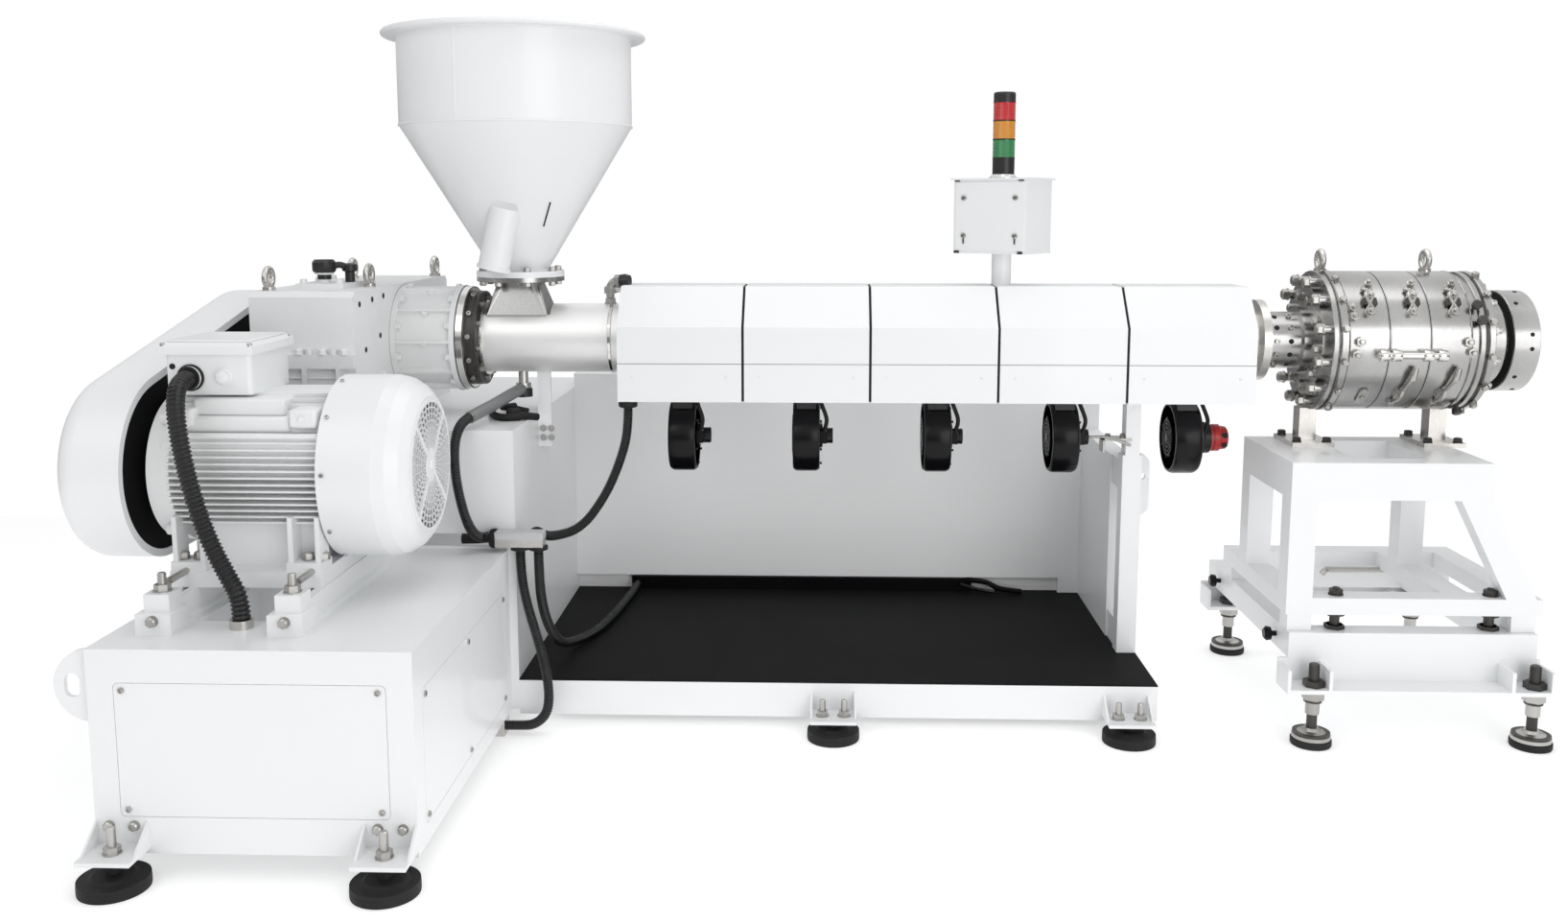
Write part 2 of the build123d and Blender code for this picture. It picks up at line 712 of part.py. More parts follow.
with BuildPart() as gearbox_upper_case:
    block(gear_left, gear_right, case_front, gear_back_y, gear_split_z, gear_top_z)
    chamfer(gearbox_upper_case.faces().sort_by(Axis.Z)[-1].edges().filter_by(Axis.X), 16)
    block(gear_left, gear_right, case_front - gear_flange_reach, gear_back_y + gear_flange_reach,
          gear_split_z, gear_split_z + gear_flange_t)
    for bolt_x in (gear_left + 70, gear_left + 170, gear_right - 60):
        for bolt_y in (case_front - gear_flange_reach + 6, gear_back_y + gear_flange_reach - 6):
            rod_z(bolt_x, bolt_y, gear_split_z + gear_flange_t, gear_split_z + gear_flange_t + 16, 9)
    cover_y = case_front + 250.0
    block(gear_left + 90, gear_right - 70, cover_y - 130, cover_y + 150, gear_top_z, gear_top_z + 16)
    rod_z(gear_right - 150, cover_y - 60, gear_top_z + 16, gear_top_z + 40, 18)
    rod_z(gear_right - 150, cover_y - 60, gear_top_z + 40, gear_top_z + 62, 27)
gearbox_upper_case.part.label = "gearbox_upper_case"

eye_ring_r = 26.0
eye_bar_r = 9.0
eye_places = [(gear_left + 36, case_front + 60, gear_top_z),
              (gear_right - 40, case_front + 260, gear_top_z),
              (gear_left + 55, gear_back_y - 247, gear_top_z),
              (gear_right - 24, gear_back_y - 57, gear_top_z)]
die_eye_places = [(back_flange_x + back_flange_l / 2, barrel_y, barrel_z + back_flange_r),
                  (front_collar_x - band_l / 2, barrel_y, barrel_z + die_r + band_t)]

with BuildPart() as lifting_eyebolts:
    for eye_x, eye_y, eye_z in eye_places + die_eye_places:
        rod_z(eye_x, eye_y, eye_z, eye_z + 10, 18)
        with Locations(Location((eye_x, eye_y, eye_z + 10 + eye_ring_r), (0, 90, 0))):
            Torus(eye_ring_r, eye_bar_r)
lifting_eyebolts.part.label = "lifting_eyebolts"

# Thrust housing: a ribbed lantern between two flanges, with its bolts
with BuildPart() as thrust_housing:
    rod_x(thrust_x, ring_x, barrel_y, barrel_z, thrust_r)
    rod_x(thrust_x, thrust_x + thrust_flange_t, barrel_y, barrel_z, thrust_flange_r)
    rod_x(ring_x - thrust_flange_t, ring_x, barrel_y, barrel_z, thrust_flange_r)
    for step in range(thrust_rib_count):
        turn = step * 360.0 / thrust_rib_count
        with BuildSketch(Plane.YZ.offset(thrust_x)):
            with Locations((barrel_y, barrel_z)):
                with Locations(Location((0, 0, 0), (0, 0, turn))):
                    with Locations((thrust_flange_r / 2, 0)):
                        Rectangle(thrust_flange_r, thrust_rib_t)
        extrude(amount=thrust_l)
    bolts_x(thrust_x + thrust_flange_t, thrust_x + thrust_flange_t + 12, thrust_r + 6,
            thrust_rib_count, 7, start=18)
thrust_housing.part.label = "thrust_housing"

with BuildPart() as feed_flange:
    rod_x(ring_x, clamp_x, barrel_y, barrel_z, ring_r)
    rod_x(clamp_x, feed_x + 10, barrel_y, barrel_z, clamp_r)
    rod_x(feed_x, feed_x + 10, barrel_y, barrel_z, feed_r, mode=Mode.SUBTRACT)
feed_flange.part.label = "feed_flange"

# Feed section: a jacketed barrel with a flat throat seat and a bored throat
with BuildPart() as feed_section:
    rod_x(feed_x, cover_x, barrel_y, barrel_z, feed_r)
    fillet(feed_section.edges().sort_by(Axis.X)[-1], 8)
    block(hopper_x - throat_seat_l / 2, hopper_x + throat_seat_l / 2, barrel_y - feed_r,
          barrel_y + feed_r, seat_z, barrel_z + feed_r, mode=Mode.SUBTRACT)
    rod_z(hopper_x, barrel_y, barrel_z - 30, seat_z, throat_bore_r, mode=Mode.SUBTRACT)
feed_section.part.label = "feed_section"

with BuildPart() as throat_adapter:
    with BuildSketch(Plane.XY.offset(seat_z)):
        with Locations((hopper_x, barrel_y)):
            RectangleRounded(throat_base, 2 * sqrt(feed_r ** 2 - throat_seat_h ** 2) + 20, 10)
    with BuildSketch(Plane.XY.offset(throat_top_z)):
        with Locations((hopper_x, barrel_y)):
            RectangleRounded(throat_top, throat_top, 30)
    loft()
    rod_z(hopper_x, barrel_y, throat_top_z, hopper_flange_z, hopper_flange_r)
    rod_z(hopper_x, barrel_y, seat_z, hopper_flange_z, throat_bore_r, mode=Mode.SUBTRACT)
throat_adapter.part.label = "throat_adapter"

# Hopper: a flanged cone under a rolled cylinder with a folded rim
with BuildPart() as hopper_cone:
    with BuildSketch(Plane.XZ.offset(-barrel_y)):
        with BuildLine():
            Polyline((hopper_x + throat_bore_r + 20, hopper_flange_z),
                     (hopper_x + hopper_flange_r, hopper_flange_z),
                     (hopper_x + hopper_flange_r, hopper_cone_z),
                     (hopper_x + hopper_neck_r, hopper_cone_z),
                     (hopper_x + hopper_r, hopper_shoulder_z),
                     (hopper_x + hopper_r - hopper_wall_t, hopper_shoulder_z),
                     (hopper_x + throat_bore_r + 20, hopper_cone_z - 6), close=True)
        make_face()
    revolve(axis=Axis((hopper_x, barrel_y, 0), (0, 0, 1)))
    chute_foot = (hopper_x, chute_y, chute_top_z)
    with Locations(Location(chute_foot, (0, chute_tilt, 0))):
        with Locations((0, 0, -chute_l / 2)):
            Cylinder(chute_r - chute_t, chute_l + 40, mode=Mode.SUBTRACT)
hopper_cone.part.label = "hopper_cone"

with BuildPart() as hopper_wall:
    with BuildSketch(Plane.XZ.offset(-barrel_y)):
        with BuildLine():
            inner = hopper_x + hopper_r - hopper_wall_t
            Polyline((inner, hopper_shoulder_z), (hopper_x + hopper_r, hopper_shoulder_z),
                     (hopper_x + hopper_r, hopper_top_z - rim_t),
                     (hopper_x + hopper_rim_r, hopper_top_z - rim_t),
                     (hopper_x + hopper_rim_r, hopper_top_z), (inner, hopper_top_z), close=True)
        make_face()
    revolve(axis=Axis((hopper_x, barrel_y, 0), (0, 0, 1)))
hopper_wall.part.label = "hopper_wall"

with BuildPart() as hopper_drain_chute:
    with Locations(Location(chute_foot, (0, chute_tilt, 0))):
        with Locations((0, 0, -chute_l / 2)):
            Cylinder(chute_r, chute_l)
            Cylinder(chute_r - chute_t, chute_l, mode=Mode.SUBTRACT)
    add(hopper_cone.part, mode=Mode.SUBTRACT)
    with BuildSketch(Plane.XZ.offset(-barrel_y)):
        with BuildLine():
            Polyline((hopper_x, hopper_cone_z - 40), (hopper_x + hopper_neck_r - 25, hopper_cone_z - 40),
                     (hopper_x + hopper_r - 4, hopper_shoulder_z), (hopper_x, hopper_shoulder_z),
                     close=True)
        make_face()
    revolve(axis=Axis((hopper_x, barrel_y, 0), (0, 0, 1)), mode=Mode.SUBTRACT)
hopper_drain_chute.part.label = "hopper_drain_chute"

# Coolant connections on the feed section, and the glands and clamps that hold the conduits
with BuildPart() as hose_fittings:
    elbow_x = cover_x - 44.0
    rod_z(elbow_x, barrel_y, barrel_z + feed_r - 2, barrel_z + feed_r + 46, 11)
    rod_x(elbow_x - 11, elbow_x + 42, barrel_y, barrel_z + feed_r + 46, 11)
    rod_z(hopper_x, barrel_y, barrel_z - feed_r - 44, barrel_z - feed_r + 2, 15)
    rod_z(hopper_x, barrel_y, barrel_z - feed_r - 62, barrel_z - feed_r - 36, 24)
    rod_x(feed_x, cover_x, barrel_y, barrel_z, feed_r, mode=Mode.SUBTRACT)
    pipe_end = Vector(*feed_conduit_route[0])
    pipe_run = (pipe_end - Vector(*feed_conduit_route[1])).normalized() * feed_pipe_l
    bar_between(pipe_end + pipe_run, pipe_end, feed_pipe_r)
    rod_z(motor_conduit_route[-1][0], motor_conduit_route[-1][1], base_top_z,
          motor_conduit_route[-1][2], gland_out_r)
    block(-1092, -950, bed_front_y - 48, bed_front_y, junction_z, junction_z + junction_h)
    rod_z(cover_conduit_route[0][0], cover_conduit_route[0][1], cover_conduit_route[0][2],
          cover_bottom_z, conduit_r + 6)
    block(-1120, base_right - wall_t, -172, -108, 3, 110)
    rod_y(cabinet_conduit_route[-1][0], cabinet_conduit_route[-1][1], cabinet_front_y + plinth_setback,
          cabinet_conduit_route[-1][2], conduit_r + 3)
hose_fittings.part.label = "hose_fittings"

motor_conduit = conduit(motor_conduit_route, motor_conduit_r)
motor_conduit.part.label = "motor_conduit"
feed_conduit = conduit(feed_conduit_route, conduit_r)
feed_conduit.part.label = "feed_conduit"
cover_conduit = conduit(cover_conduit_route, conduit_r)
cover_conduit.part.label = "cover_conduit"
floor_conduit = conduit(floor_conduit_route, conduit_r)
floor_conduit.part.label = "floor_conduit"
cabinet_conduit = conduit(cabinet_conduit_route, conduit_r)
cabinet_conduit.part.label = "cabinet_conduit"

# Feed support: an angle bolted to the pedestal under the feed section
with BuildPart() as feed_support_bracket:
    saddle_front = barrel_y - 6.0
    block(pedestal_right, pedestal_right + 12, saddle_front, barrel_y + 150, feed_support_z,
          barrel_z - feed_r + 6)
    block(pedestal_right, pedestal_right + 42, saddle_front, saddle_front + 12, feed_support_z,
          barrel_z - feed_r + 6)
    rod_x(feed_x, cover_x, barrel_y, barrel_z, feed_r, mode=Mode.SUBTRACT)
feed_support_bracket.part.label = "feed_support_bracket"

# Barrel and its five pairs of folded covers
with BuildPart() as barrel_tube:
    rod_x(cover_x, nose_flange_x, barrel_y, barrel_z, barrel_r)
    rod_x(nose_flange_x, neck_x, barrel_y, barrel_z, nose_flange_r)
barrel_tube.part.label = "barrel_tube"


def cover_section(inset, top, bottom):
    """Sketch the folded cover profile between two heights, pulled in by inset."""
    wide = cover_half_w - inset
    narrow = cover_top_half_w - inset * 0.4
    shoulder = barrel_z + cover_bevel_z - inset * 0.4
    Polygon((barrel_y - wide, bottom), (barrel_y + wide, bottom), (barrel_y + wide, shoulder),
            (barrel_y + narrow, top), (barrel_y - narrow, top), (barrel_y - wide, shoulder),
            align=None)


cover_seam = barrel_z + cover_seam_z
with BuildPart() as upper_barrel_covers:
    for index in range(cover_count):
        start_x = cover_x + index * cover_pitch + cover_gap / 2
        length = cover_pitch - cover_gap
        with BuildSketch(Plane.YZ.offset(start_x)):
            cover_section(0, cover_top_z, cover_seam)
        extrude(amount=length)
        with BuildSketch(Plane.YZ.offset(start_x + cover_t)):
            cover_section(cover_t, cover_top_z - cover_t, cover_seam)
        extrude(amount=length - 2 * cover_t, mode=Mode.SUBTRACT)
    rod_x(cover_x, cover_end_x, barrel_y, barrel_z, barrel_r + seat_gap, mode=Mode.SUBTRACT)
upper_barrel_covers.part.label = "upper_barrel_covers"

with BuildPart() as lower_barrel_covers:
    for index in range(cover_count):
        start_x = cover_x + index * cover_pitch + cover_gap / 2
        end_x = start_x + cover_pitch - cover_gap
        block(start_x, end_x, barrel_y - cover_half_w, barrel_y + cover_half_w, cover_bottom_z, cover_seam)
        block(start_x + cover_t, end_x - cover_t, barrel_y - cover_half_w + cover_t,
              barrel_y + cover_half_w - cover_t, cover_bottom_z + cover_t, cover_seam,
              mode=Mode.SUBTRACT)
    rod_x(cover_x, cover_end_x, barrel_y, barrel_z, barrel_r + seat_gap, mode=Mode.SUBTRACT)
lower_barrel_covers.part.label = "lower_barrel_covers"

# Cooling blowers: a drum with a duct up to the cover, its inlet on the left
blower_x = [cover_x + (index + 0.5) * cover_pitch + blower_shifts[index] for index in range(cover_count)]
with BuildPart() as blower_housings:
    for drum_x in blower_x:
        left = drum_x - blower_w / 2
        rod_x(left, left + blower_round, barrel_y, blower_z, blower_r - blower_round / 2)
        rod_x(left + blower_round, left + blower_w - blower_round, barrel_y, blower_z, blower_r)
        rod_x(left + blower_w - blower_round, left + blower_w, barrel_y, blower_z,
              blower_r - blower_round / 2)
        block(drum_x - 30, drum_x + 30, barrel_y - blower_neck, barrel_y + blower_neck, blower_z,
              cover_bottom_z)
        rod_x(left, left + 12, barrel_y, blower_z, blower_inlet_r, mode=Mode.SUBTRACT)
        rod_x(left + 3, left + 12, barrel_y, blower_z, 30)
    for index, drum_x in enumerate(blower_x):
        right = drum_x + blower_w / 2
        last = index == cover_count - 1
        body_r = last_motor_r if last else blower_motor_r
        body_l = last_motor_l if last else blower_motor_l
        rod_x(right, right + body_l, barrel_y, blower_z, body_r)
        rod_x(right, right + 8, barrel_y, blower_z, body_r + 14)
blower_housings.part.label = "blower_housings"

with BuildPart() as blower_red_cap:
    red_x = blower_x[-1] + blower_w / 2 + last_motor_l
    rod_x(red_x, red_x + red_cap_l / 2, barrel_y, blower_z, red_cap_r)
    rod_x(red_x + red_cap_l / 2, red_x + red_cap_l, barrel_y, blower_z, red_cap_tip_r)
    chamfer(blower_red_cap.edges().sort_by(Axis.X)[-1], 4)
blower_red_cap.part.label = "blower_red_cap"

# Bed: long and cross beams under a black plate
with BuildPart() as bed_long_beams:
    beam_top = bed_top_z - bed_plate_t
    block(pedestal_right, bed_right, bed_front_y, bed_front_y + bed_beam_w, bed_bottom_z, beam_top)
    block(pedestal_right, bed_right, machine_back_y - bed_beam_w, machine_back_y, bed_bottom_z,
          beam_top)
bed_long_beams.part.label = "bed_long_beams"

with BuildPart() as bed_cross_beams:
    beam_start = bed_front_y + bed_beam_w
    beam_end = machine_back_y - bed_beam_w
    for beam_x in (pedestal_right, (pedestal_right + bed_right - bed_beam_w) / 2, bed_right - bed_beam_w):
        block(beam_x, beam_x + bed_beam_w, beam_start, beam_end, bed_bottom_z, beam_top)
bed_cross_beams.part.label = "bed_cross_beams"

with BuildPart() as bed_top_plate:
    block(pedestal_right, bed_right, bed_front_y, machine_back_y, beam_top, bed_top_z)
bed_top_plate.part.label = "bed_top_plate"

# Rear cabinet on a set-back plinth, with a deeper right-hand bay
with BuildPart() as rear_cabinet:
    block(pedestal_right, cabinet_right, cabinet_front_y, machine_back_y, cabinet_bottom_z,
          cabinet_top_z)
    block(cabinet_right, bed_right, cabinet_front_y, machine_back_y, bed_top_z, cabinet_top_z)
    block(pedestal_right, cabinet_right, cabinet_front_y + plinth_setback, machine_back_y,
          bed_top_z, cabinet_bottom_z)
rear_cabinet.part.label = "rear_cabinet"

# End frame: posts and rails round a tall window, and a column up to the barrel
with BuildPart() as end_frame_posts:
    post_left = bed_right - end_post_w
    block(post_left, bed_right, end_post_front_y, end_post_front_y + end_post_w, bed_top_z,
          end_frame_top_z)
    block(post_left, bed_right, end_window_back_y, cabinet_front_y, bed_top_z,
          end_frame_top_z - end_panel_drop)
    column_x = (post_left + bed_right) / 2
    block(column_x - column_w / 2, column_x + column_w / 2, end_post_front_y,
          end_post_front_y + end_post_w, end_frame_top_z, cover_bottom_z)
end_frame_posts.part.label = "end_frame_posts"

with BuildPart() as end_frame_rails:
    rail_start = end_post_front_y + end_post_w
    rail_end = end_window_back_y
    for rail_z in (bed_top_z, end_frame_top_z - end_panel_drop - end_rail_h):
        block(post_left + 6, bed_right - 6, rail_start, rail_end, rail_z, rail_z + end_rail_h)
end_frame_rails.part.label = "end_frame_rails"

# Signal column: post, junction box and a three-colour light
post_y = barrel_y + post_back
with BuildPart() as signal_post:
    rod_z(post_x, post_y, cover_top_z, signal_box_z, post_r)
    with BuildSketch(Plane.XY.offset(signal_box_z)):
        with Locations(Location((post_x, post_y, 0), (0, 0, signal_box_turn))):
            Rectangle(signal_box_w, signal_box_d)
    extrude(amount=signal_box_h - 6)
    with BuildSketch(Plane.XY.offset(signal_box_z + signal_box_h - 6)):
        with Locations(Location((post_x, post_y, 0), (0, 0, signal_box_turn))):
            Rectangle(signal_box_w + 16, signal_box_d + 16)
    extrude(amount=6)
signal_post.part.label = "signal_post"

light_z = signal_box_z + signal_box_h
lens_z = [light_z + signal_base_h + index * lens_h for index in range(3)]
cap_z = light_z + signal_base_h + 3 * lens_h
with BuildPart() as signal_light_body:
    rod_z(post_x, post_y, light_z, light_z + signal_base_h, signal_r)
    rod_z(post_x, post_y, cap_z, cap_z + signal_cap_h, signal_r)
    fillet(signal_light_body.edges().sort_by(Axis.Z)[-1], 6)
signal_light_body.part.label = "signal_light_body"

with BuildPart() as signal_lens_green:
    rod_z(post_x, post_y, lens_z[0], lens_z[0] + lens_h, signal_r)
signal_lens_green.part.label = "signal_lens_green"

with BuildPart() as signal_lens_amber:
    rod_z(post_x, post_y, lens_z[1], lens_z[1] + lens_h, signal_r)
signal_lens_amber.part.label = "signal_lens_amber"

with BuildPart() as signal_lens_red:
    rod_z(post_x, post_y, lens_z[2], lens_z[2] + lens_h, signal_r)
signal_lens_red.part.label = "signal_lens_red"

# Die: adapter, back flange, heated body, front flange and nose ring
with BuildPart() as die_adapter:
    rod_x(neck_x, collar_x, barrel_y, barrel_z, neck_r)
    rod_x(collar_x, hub_plate_x, barrel_y, barrel_z, collar_r)
    rod_x(hub_plate_x, back_flange_x, barrel_y, barrel_z, hub_plate_r)
die_adapter.part.label = "die_adapter"

with BuildPart() as die_flanges:
    rod_x(back_flange_x, die_x, barrel_y, barrel_z, back_flange_r)
    bolts_x(back_flange_x - 26, back_flange_x, back_flange_r - 24, die_bolt_count, 2 * die_bolt_r - 4,
            start=15)
    rod_x(front_flange_x, core_x, barrel_y, barrel_z, front_flange_r)
    bolts_x(core_x, core_x + 24, front_flange_r - 34, die_bolt_count, die_bolt_r + 4, start=15)
die_flanges.part.label = "die_flanges"

with BuildPart() as die_body:
    rod_x(die_x, front_flange_x, barrel_y, barrel_z, die_r)
    for index in range(band_count):
        band_x = die_x + index * band_l + band_gap / 2
        rod_x(band_x, band_x + band_l - band_gap, barrel_y, barrel_z, die_r + band_t)
die_body.part.label = "die_body"

with BuildPart() as die_nose_core:
    rod_x(core_x, nose_ring_x + nose_ring_l - 6, barrel_y, barrel_z, core_r)
    rod_x(inner_ring_x, inner_ring_x + inner_ring_l, barrel_y, barrel_z, inner_ring_r)
    rod_x(nose_ring_x + 40, nose_ring_x + nose_ring_l - 6, barrel_y, barrel_z, nose_ring_bore_r)
die_nose_core.part.label = "die_nose_core"

with BuildPart() as die_nose_ring:
    rod_x(nose_ring_x, nose_ring_x + nose_ring_l, barrel_y, barrel_z, nose_ring_r)
    rod_x(nose_ring_x, nose_ring_x + nose_ring_l, barrel_y, barrel_z, nose_ring_bore_r,
          mode=Mode.SUBTRACT)
die_nose_ring.part.label = "die_nose_ring"

# Die supports: two legs shaped to the die, on foot plates across the trolley
with BuildPart() as die_support_legs:
    for leg_x in die_leg_x:
        block(leg_x - die_leg_half_l, leg_x + die_leg_half_l, barrel_y - die_leg_w / 2, barrel_y + die_leg_w / 2,
              trolley_top_z + 14, barrel_z)
        block(leg_x - 64, leg_x + 64, barrel_y - 90, barrel_y + 90, trolley_top_z, trolley_top_z + 14)
    rod_x(die_leg_x[0] - die_leg_half_l, die_x, barrel_y, barrel_z, back_flange_r, mode=Mode.SUBTRACT)
    rod_x(die_x, front_flange_x, barrel_y, barrel_z, die_r + band_t, mode=Mode.SUBTRACT)
    rod_x(front_flange_x, core_x, barrel_y, barrel_z, front_flange_r, mode=Mode.SUBTRACT)
die_support_legs.part.label = "die_support_legs"

# Trolley: deep top beams, legs with raking braces, a ring frame and a base on screws
with BuildPart() as trolley_long_beams:
    low_front = trolley_front_y - 10.0
    for beam_y in (trolley_front_y, trolley_back_y - trolley_tube):
        block(trolley_left, trolley_right, beam_y, beam_y + trolley_tube, beam_bottom_z, trolley_top_z)
    for beam_y in (trolley_front_y, ring_frame_back_y - trolley_tube):
        block(trolley_left, ring_frame_right, beam_y, beam_y + trolley_tube, ring_frame_z,
              ring_frame_top_z)
    for beam_y in (low_front, low_frame_back_y - trolley_tube):
        block(low_frame_left, low_frame_right, beam_y, beam_y + trolley_tube, low_frame_z,
              low_frame_top_z)
trolley_long_beams.part.label = "trolley_long_beams"

with BuildPart() as trolley_cross_beams:
    cross_start = trolley_front_y + trolley_tube
    top_cross_end = trolley_back_y - trolley_tube
    ring_cross_end = ring_frame_back_y - trolley_tube
    block(trolley_left, trolley_left + top_cross_w, cross_start, top_cross_end, beam_bottom_z,
          trolley_top_z)
    block(trolley_right - 2 * trolley_tube, trolley_right, cross_start, top_cross_end, beam_bottom_z,
          trolley_top_z)
    for beam_x in (trolley_left, trolley_right - trolley_tube - 20, ring_frame_right - trolley_tube):
        block(beam_x, beam_x + trolley_tube, cross_start, ring_cross_end, ring_frame_z,
              ring_frame_top_z)
    for beam_x in (low_frame_left, low_frame_right - trolley_tube):
        block(beam_x, beam_x + trolley_tube, low_front + trolley_tube, low_frame_back_y - trolley_tube,
              low_frame_z, low_frame_top_z)
trolley_cross_beams.part.label = "trolley_cross_beams"

with BuildPart() as trolley_legs:
    for leg_y in (trolley_front_y, trolley_back_y - trolley_tube):
        block(trolley_left, trolley_left + trolley_tube, leg_y, leg_y + trolley_tube,
              ring_frame_top_z, beam_bottom_z)
    block(trolley_right - trolley_tube - 20, trolley_right - 20, trolley_back_y - trolley_tube,
          trolley_back_y, ring_frame_top_z, beam_bottom_z)
    brace_foot = ring_frame_right - 20.0
    with BuildSketch(Plane.XZ.offset(-trolley_front_y)):
        with BuildLine():
            Polyline((trolley_right - 88, beam_bottom_z), (trolley_right, beam_bottom_z),
                     (brace_foot, ring_frame_top_z), (brace_foot - 88, ring_frame_top_z),
                     close=True)
        make_face()
    extrude(amount=-trolley_tube * 0.8)
trolley_legs.part.label = "trolley_legs"

# Foot channels: an open channel across each end, boxed in beside each levelling screw
channel_left = 1218.0
with BuildPart() as trolley_foot_channels:
    for front in (True, False):
        web_y = low_front if front else low_frame_back_y - 10
        near_y = web_y - channel_reach + 10
        far_y = web_y + 10
        block(channel_left, channel_right, near_y, far_y, channel_bottom_z, channel_bottom_z + 12)
        block(channel_left, channel_right, web_y, far_y, channel_bottom_z, low_frame_z)
        for cheek in (channel_left + 5, *trolley_cheek_x, channel_right - 5):
            block(cheek - 5, cheek + 5, near_y, far_y, channel_bottom_z, low_frame_z - 10)
trolley_foot_channels.part.label = "trolley_foot_channels"

with BuildPart() as trolley_feet:
    for foot_x in trolley_foot_x:
        for foot_y in trolley_foot_y:
            rod_z(foot_x, foot_y, 0, 20, trolley_pad_r)
            rod_z(foot_x, foot_y, 20, 40, trolley_pad_r - 3)
            rod_z(foot_x, foot_y, 40, channel_bottom_z, trolley_stud_r)
            rod_z(foot_x, foot_y, channel_bottom_z - 34, channel_bottom_z, 26)
            rod_z(foot_x, foot_y, channel_bottom_z + 12, trolley_screw_top_z, trolley_stud_r)
            rod_z(foot_x, foot_y, channel_bottom_z + 12, channel_bottom_z + 24, 26)
    for jack_x in trolley_jack_x:
        jack_y = trolley_front_y + 42.0
        rod_z(jack_x, jack_y, low_frame_top_z, low_frame_top_z + 12, 24)
        rod_z(jack_x, jack_y, low_frame_top_z + 12, ring_frame_z, 14)
    for block_x in (low_frame_left, low_frame_right - 70):
        for jack_y in (trolley_front_y, ring_frame_back_y - trolley_tube):
            block(block_x, block_x + 70, jack_y + 12, jack_y + trolley_tube, low_frame_top_z,
                  ring_frame_z)
trolley_feet.part.label = "trolley_feet"

pieces = (
    drive_base_front_wall,
    drive_base_side_walls,
    base_access_panels,
    drive_base_top_plate,
    lifting_lugs,
    foot_brackets,
    foot_pads,
    motor_rails,
    motor_body,
    motor_end_shield,
    motor_fan_cowl,
    motor_fan_grille,
    motor_terminal_box,
    belt_guard_cover,
    belt_guard_back_plate,
    gearbox_pedestal,
    gearbox_lower_case,
    gearbox_upper_case,
    lifting_eyebolts,
    thrust_housing,
    feed_flange,
    feed_section,
    throat_adapter,
    hopper_cone,
    hopper_wall,
    hopper_drain_chute,
    hose_fittings,
    motor_conduit,
    feed_conduit,
    cover_conduit,
    floor_conduit,
    cabinet_conduit,
    feed_support_bracket,
    barrel_tube,
    upper_barrel_covers,
    lower_barrel_covers,
    blower_housings,
    blower_red_cap,
    bed_long_beams,
    bed_cross_beams,
    bed_top_plate,
    rear_cabinet,
    end_frame_posts,
    end_frame_rails,
    signal_post,
    signal_light_body,
    signal_lens_green,
    signal_lens_amber,
    signal_lens_red,
    die_adapter,
    die_flanges,
    die_body,
    die_nose_core,
    die_nose_ring,
    die_support_legs,
    trolley_long_beams,
    trolley_cross_beams,
    trolley_legs,
    trolley_foot_channels,
    trolley_feet,
)

os.makedirs("parts", exist_ok=True)
for piece in pieces:
    export_step(piece.part, f"parts/{piece.part.label}.step")
print(len(pieces), "pieces written")
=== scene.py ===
# %% [markdown]
# # A plastic extruder, dressed over its imported model
# The imported model gives every node's place in metres: X along the barrel, Y away from the
# operator, Z up. This file loads it, sets the photograph's camera, lays the hoses, and then adds
# what a machine builder sees on the real thing: fins, bolts, clamps, folds and finishes.
# Loading comes first, because later cells paint and hide its nodes.

# %% Load the imported model
import json
from math import pi, radians
import bpy
import numpy as np
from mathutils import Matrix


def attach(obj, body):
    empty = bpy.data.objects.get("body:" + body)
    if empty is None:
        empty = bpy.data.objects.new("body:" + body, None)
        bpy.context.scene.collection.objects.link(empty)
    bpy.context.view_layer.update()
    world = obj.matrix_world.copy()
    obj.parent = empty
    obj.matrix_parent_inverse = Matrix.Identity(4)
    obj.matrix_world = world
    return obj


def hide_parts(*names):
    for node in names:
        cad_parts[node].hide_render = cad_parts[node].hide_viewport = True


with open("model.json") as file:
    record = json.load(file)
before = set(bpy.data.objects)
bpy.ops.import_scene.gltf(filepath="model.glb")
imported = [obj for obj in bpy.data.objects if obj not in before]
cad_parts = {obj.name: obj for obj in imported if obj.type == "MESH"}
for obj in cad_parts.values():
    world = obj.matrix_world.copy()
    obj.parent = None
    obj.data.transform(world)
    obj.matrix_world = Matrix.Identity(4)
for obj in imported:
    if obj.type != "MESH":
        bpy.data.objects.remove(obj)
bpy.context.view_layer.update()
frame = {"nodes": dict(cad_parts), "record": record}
nodes = frame["nodes"]

# %% [markdown]
# ## The camera
# The photographer stood in front of the bed at eye height, a little left of the middle, and
# turned slightly left. A 31 mm lens on a 36 mm sensor gives the same spread between the near
# drive base and the far die. The camera looks down by 7.5 degrees, and the small shift stands for
# a crop of the picture.

# %% Camera
camera_data = bpy.data.cameras.new("photo_camera")
camera_data.lens = 30.83
camera_data.sensor_width = 36.0
camera_data.shift_y = -0.049
camera = bpy.data.objects.new("photo_camera", camera_data)
camera.location = (-0.121, -3.9625, 1.56)
camera.rotation_euler = (radians(90.0 - 7.5), 0.0, radians(1.8))
bpy.context.scene.collection.objects.link(camera)
bpy.context.scene.camera = camera

# %% [markdown]
# ## Shapes as arrays
# Nearly every fitting here is turned on a lathe, cut from plate or bent from round bar. So three
# surface functions make them all: a turned one, a carried one and a plate one. Each returns its
# points and its faces as arrays, and `copies` then sets one shape at many places at once.
# Working with whole arrays is quick, and one bolt drawn well serves for a hundred.

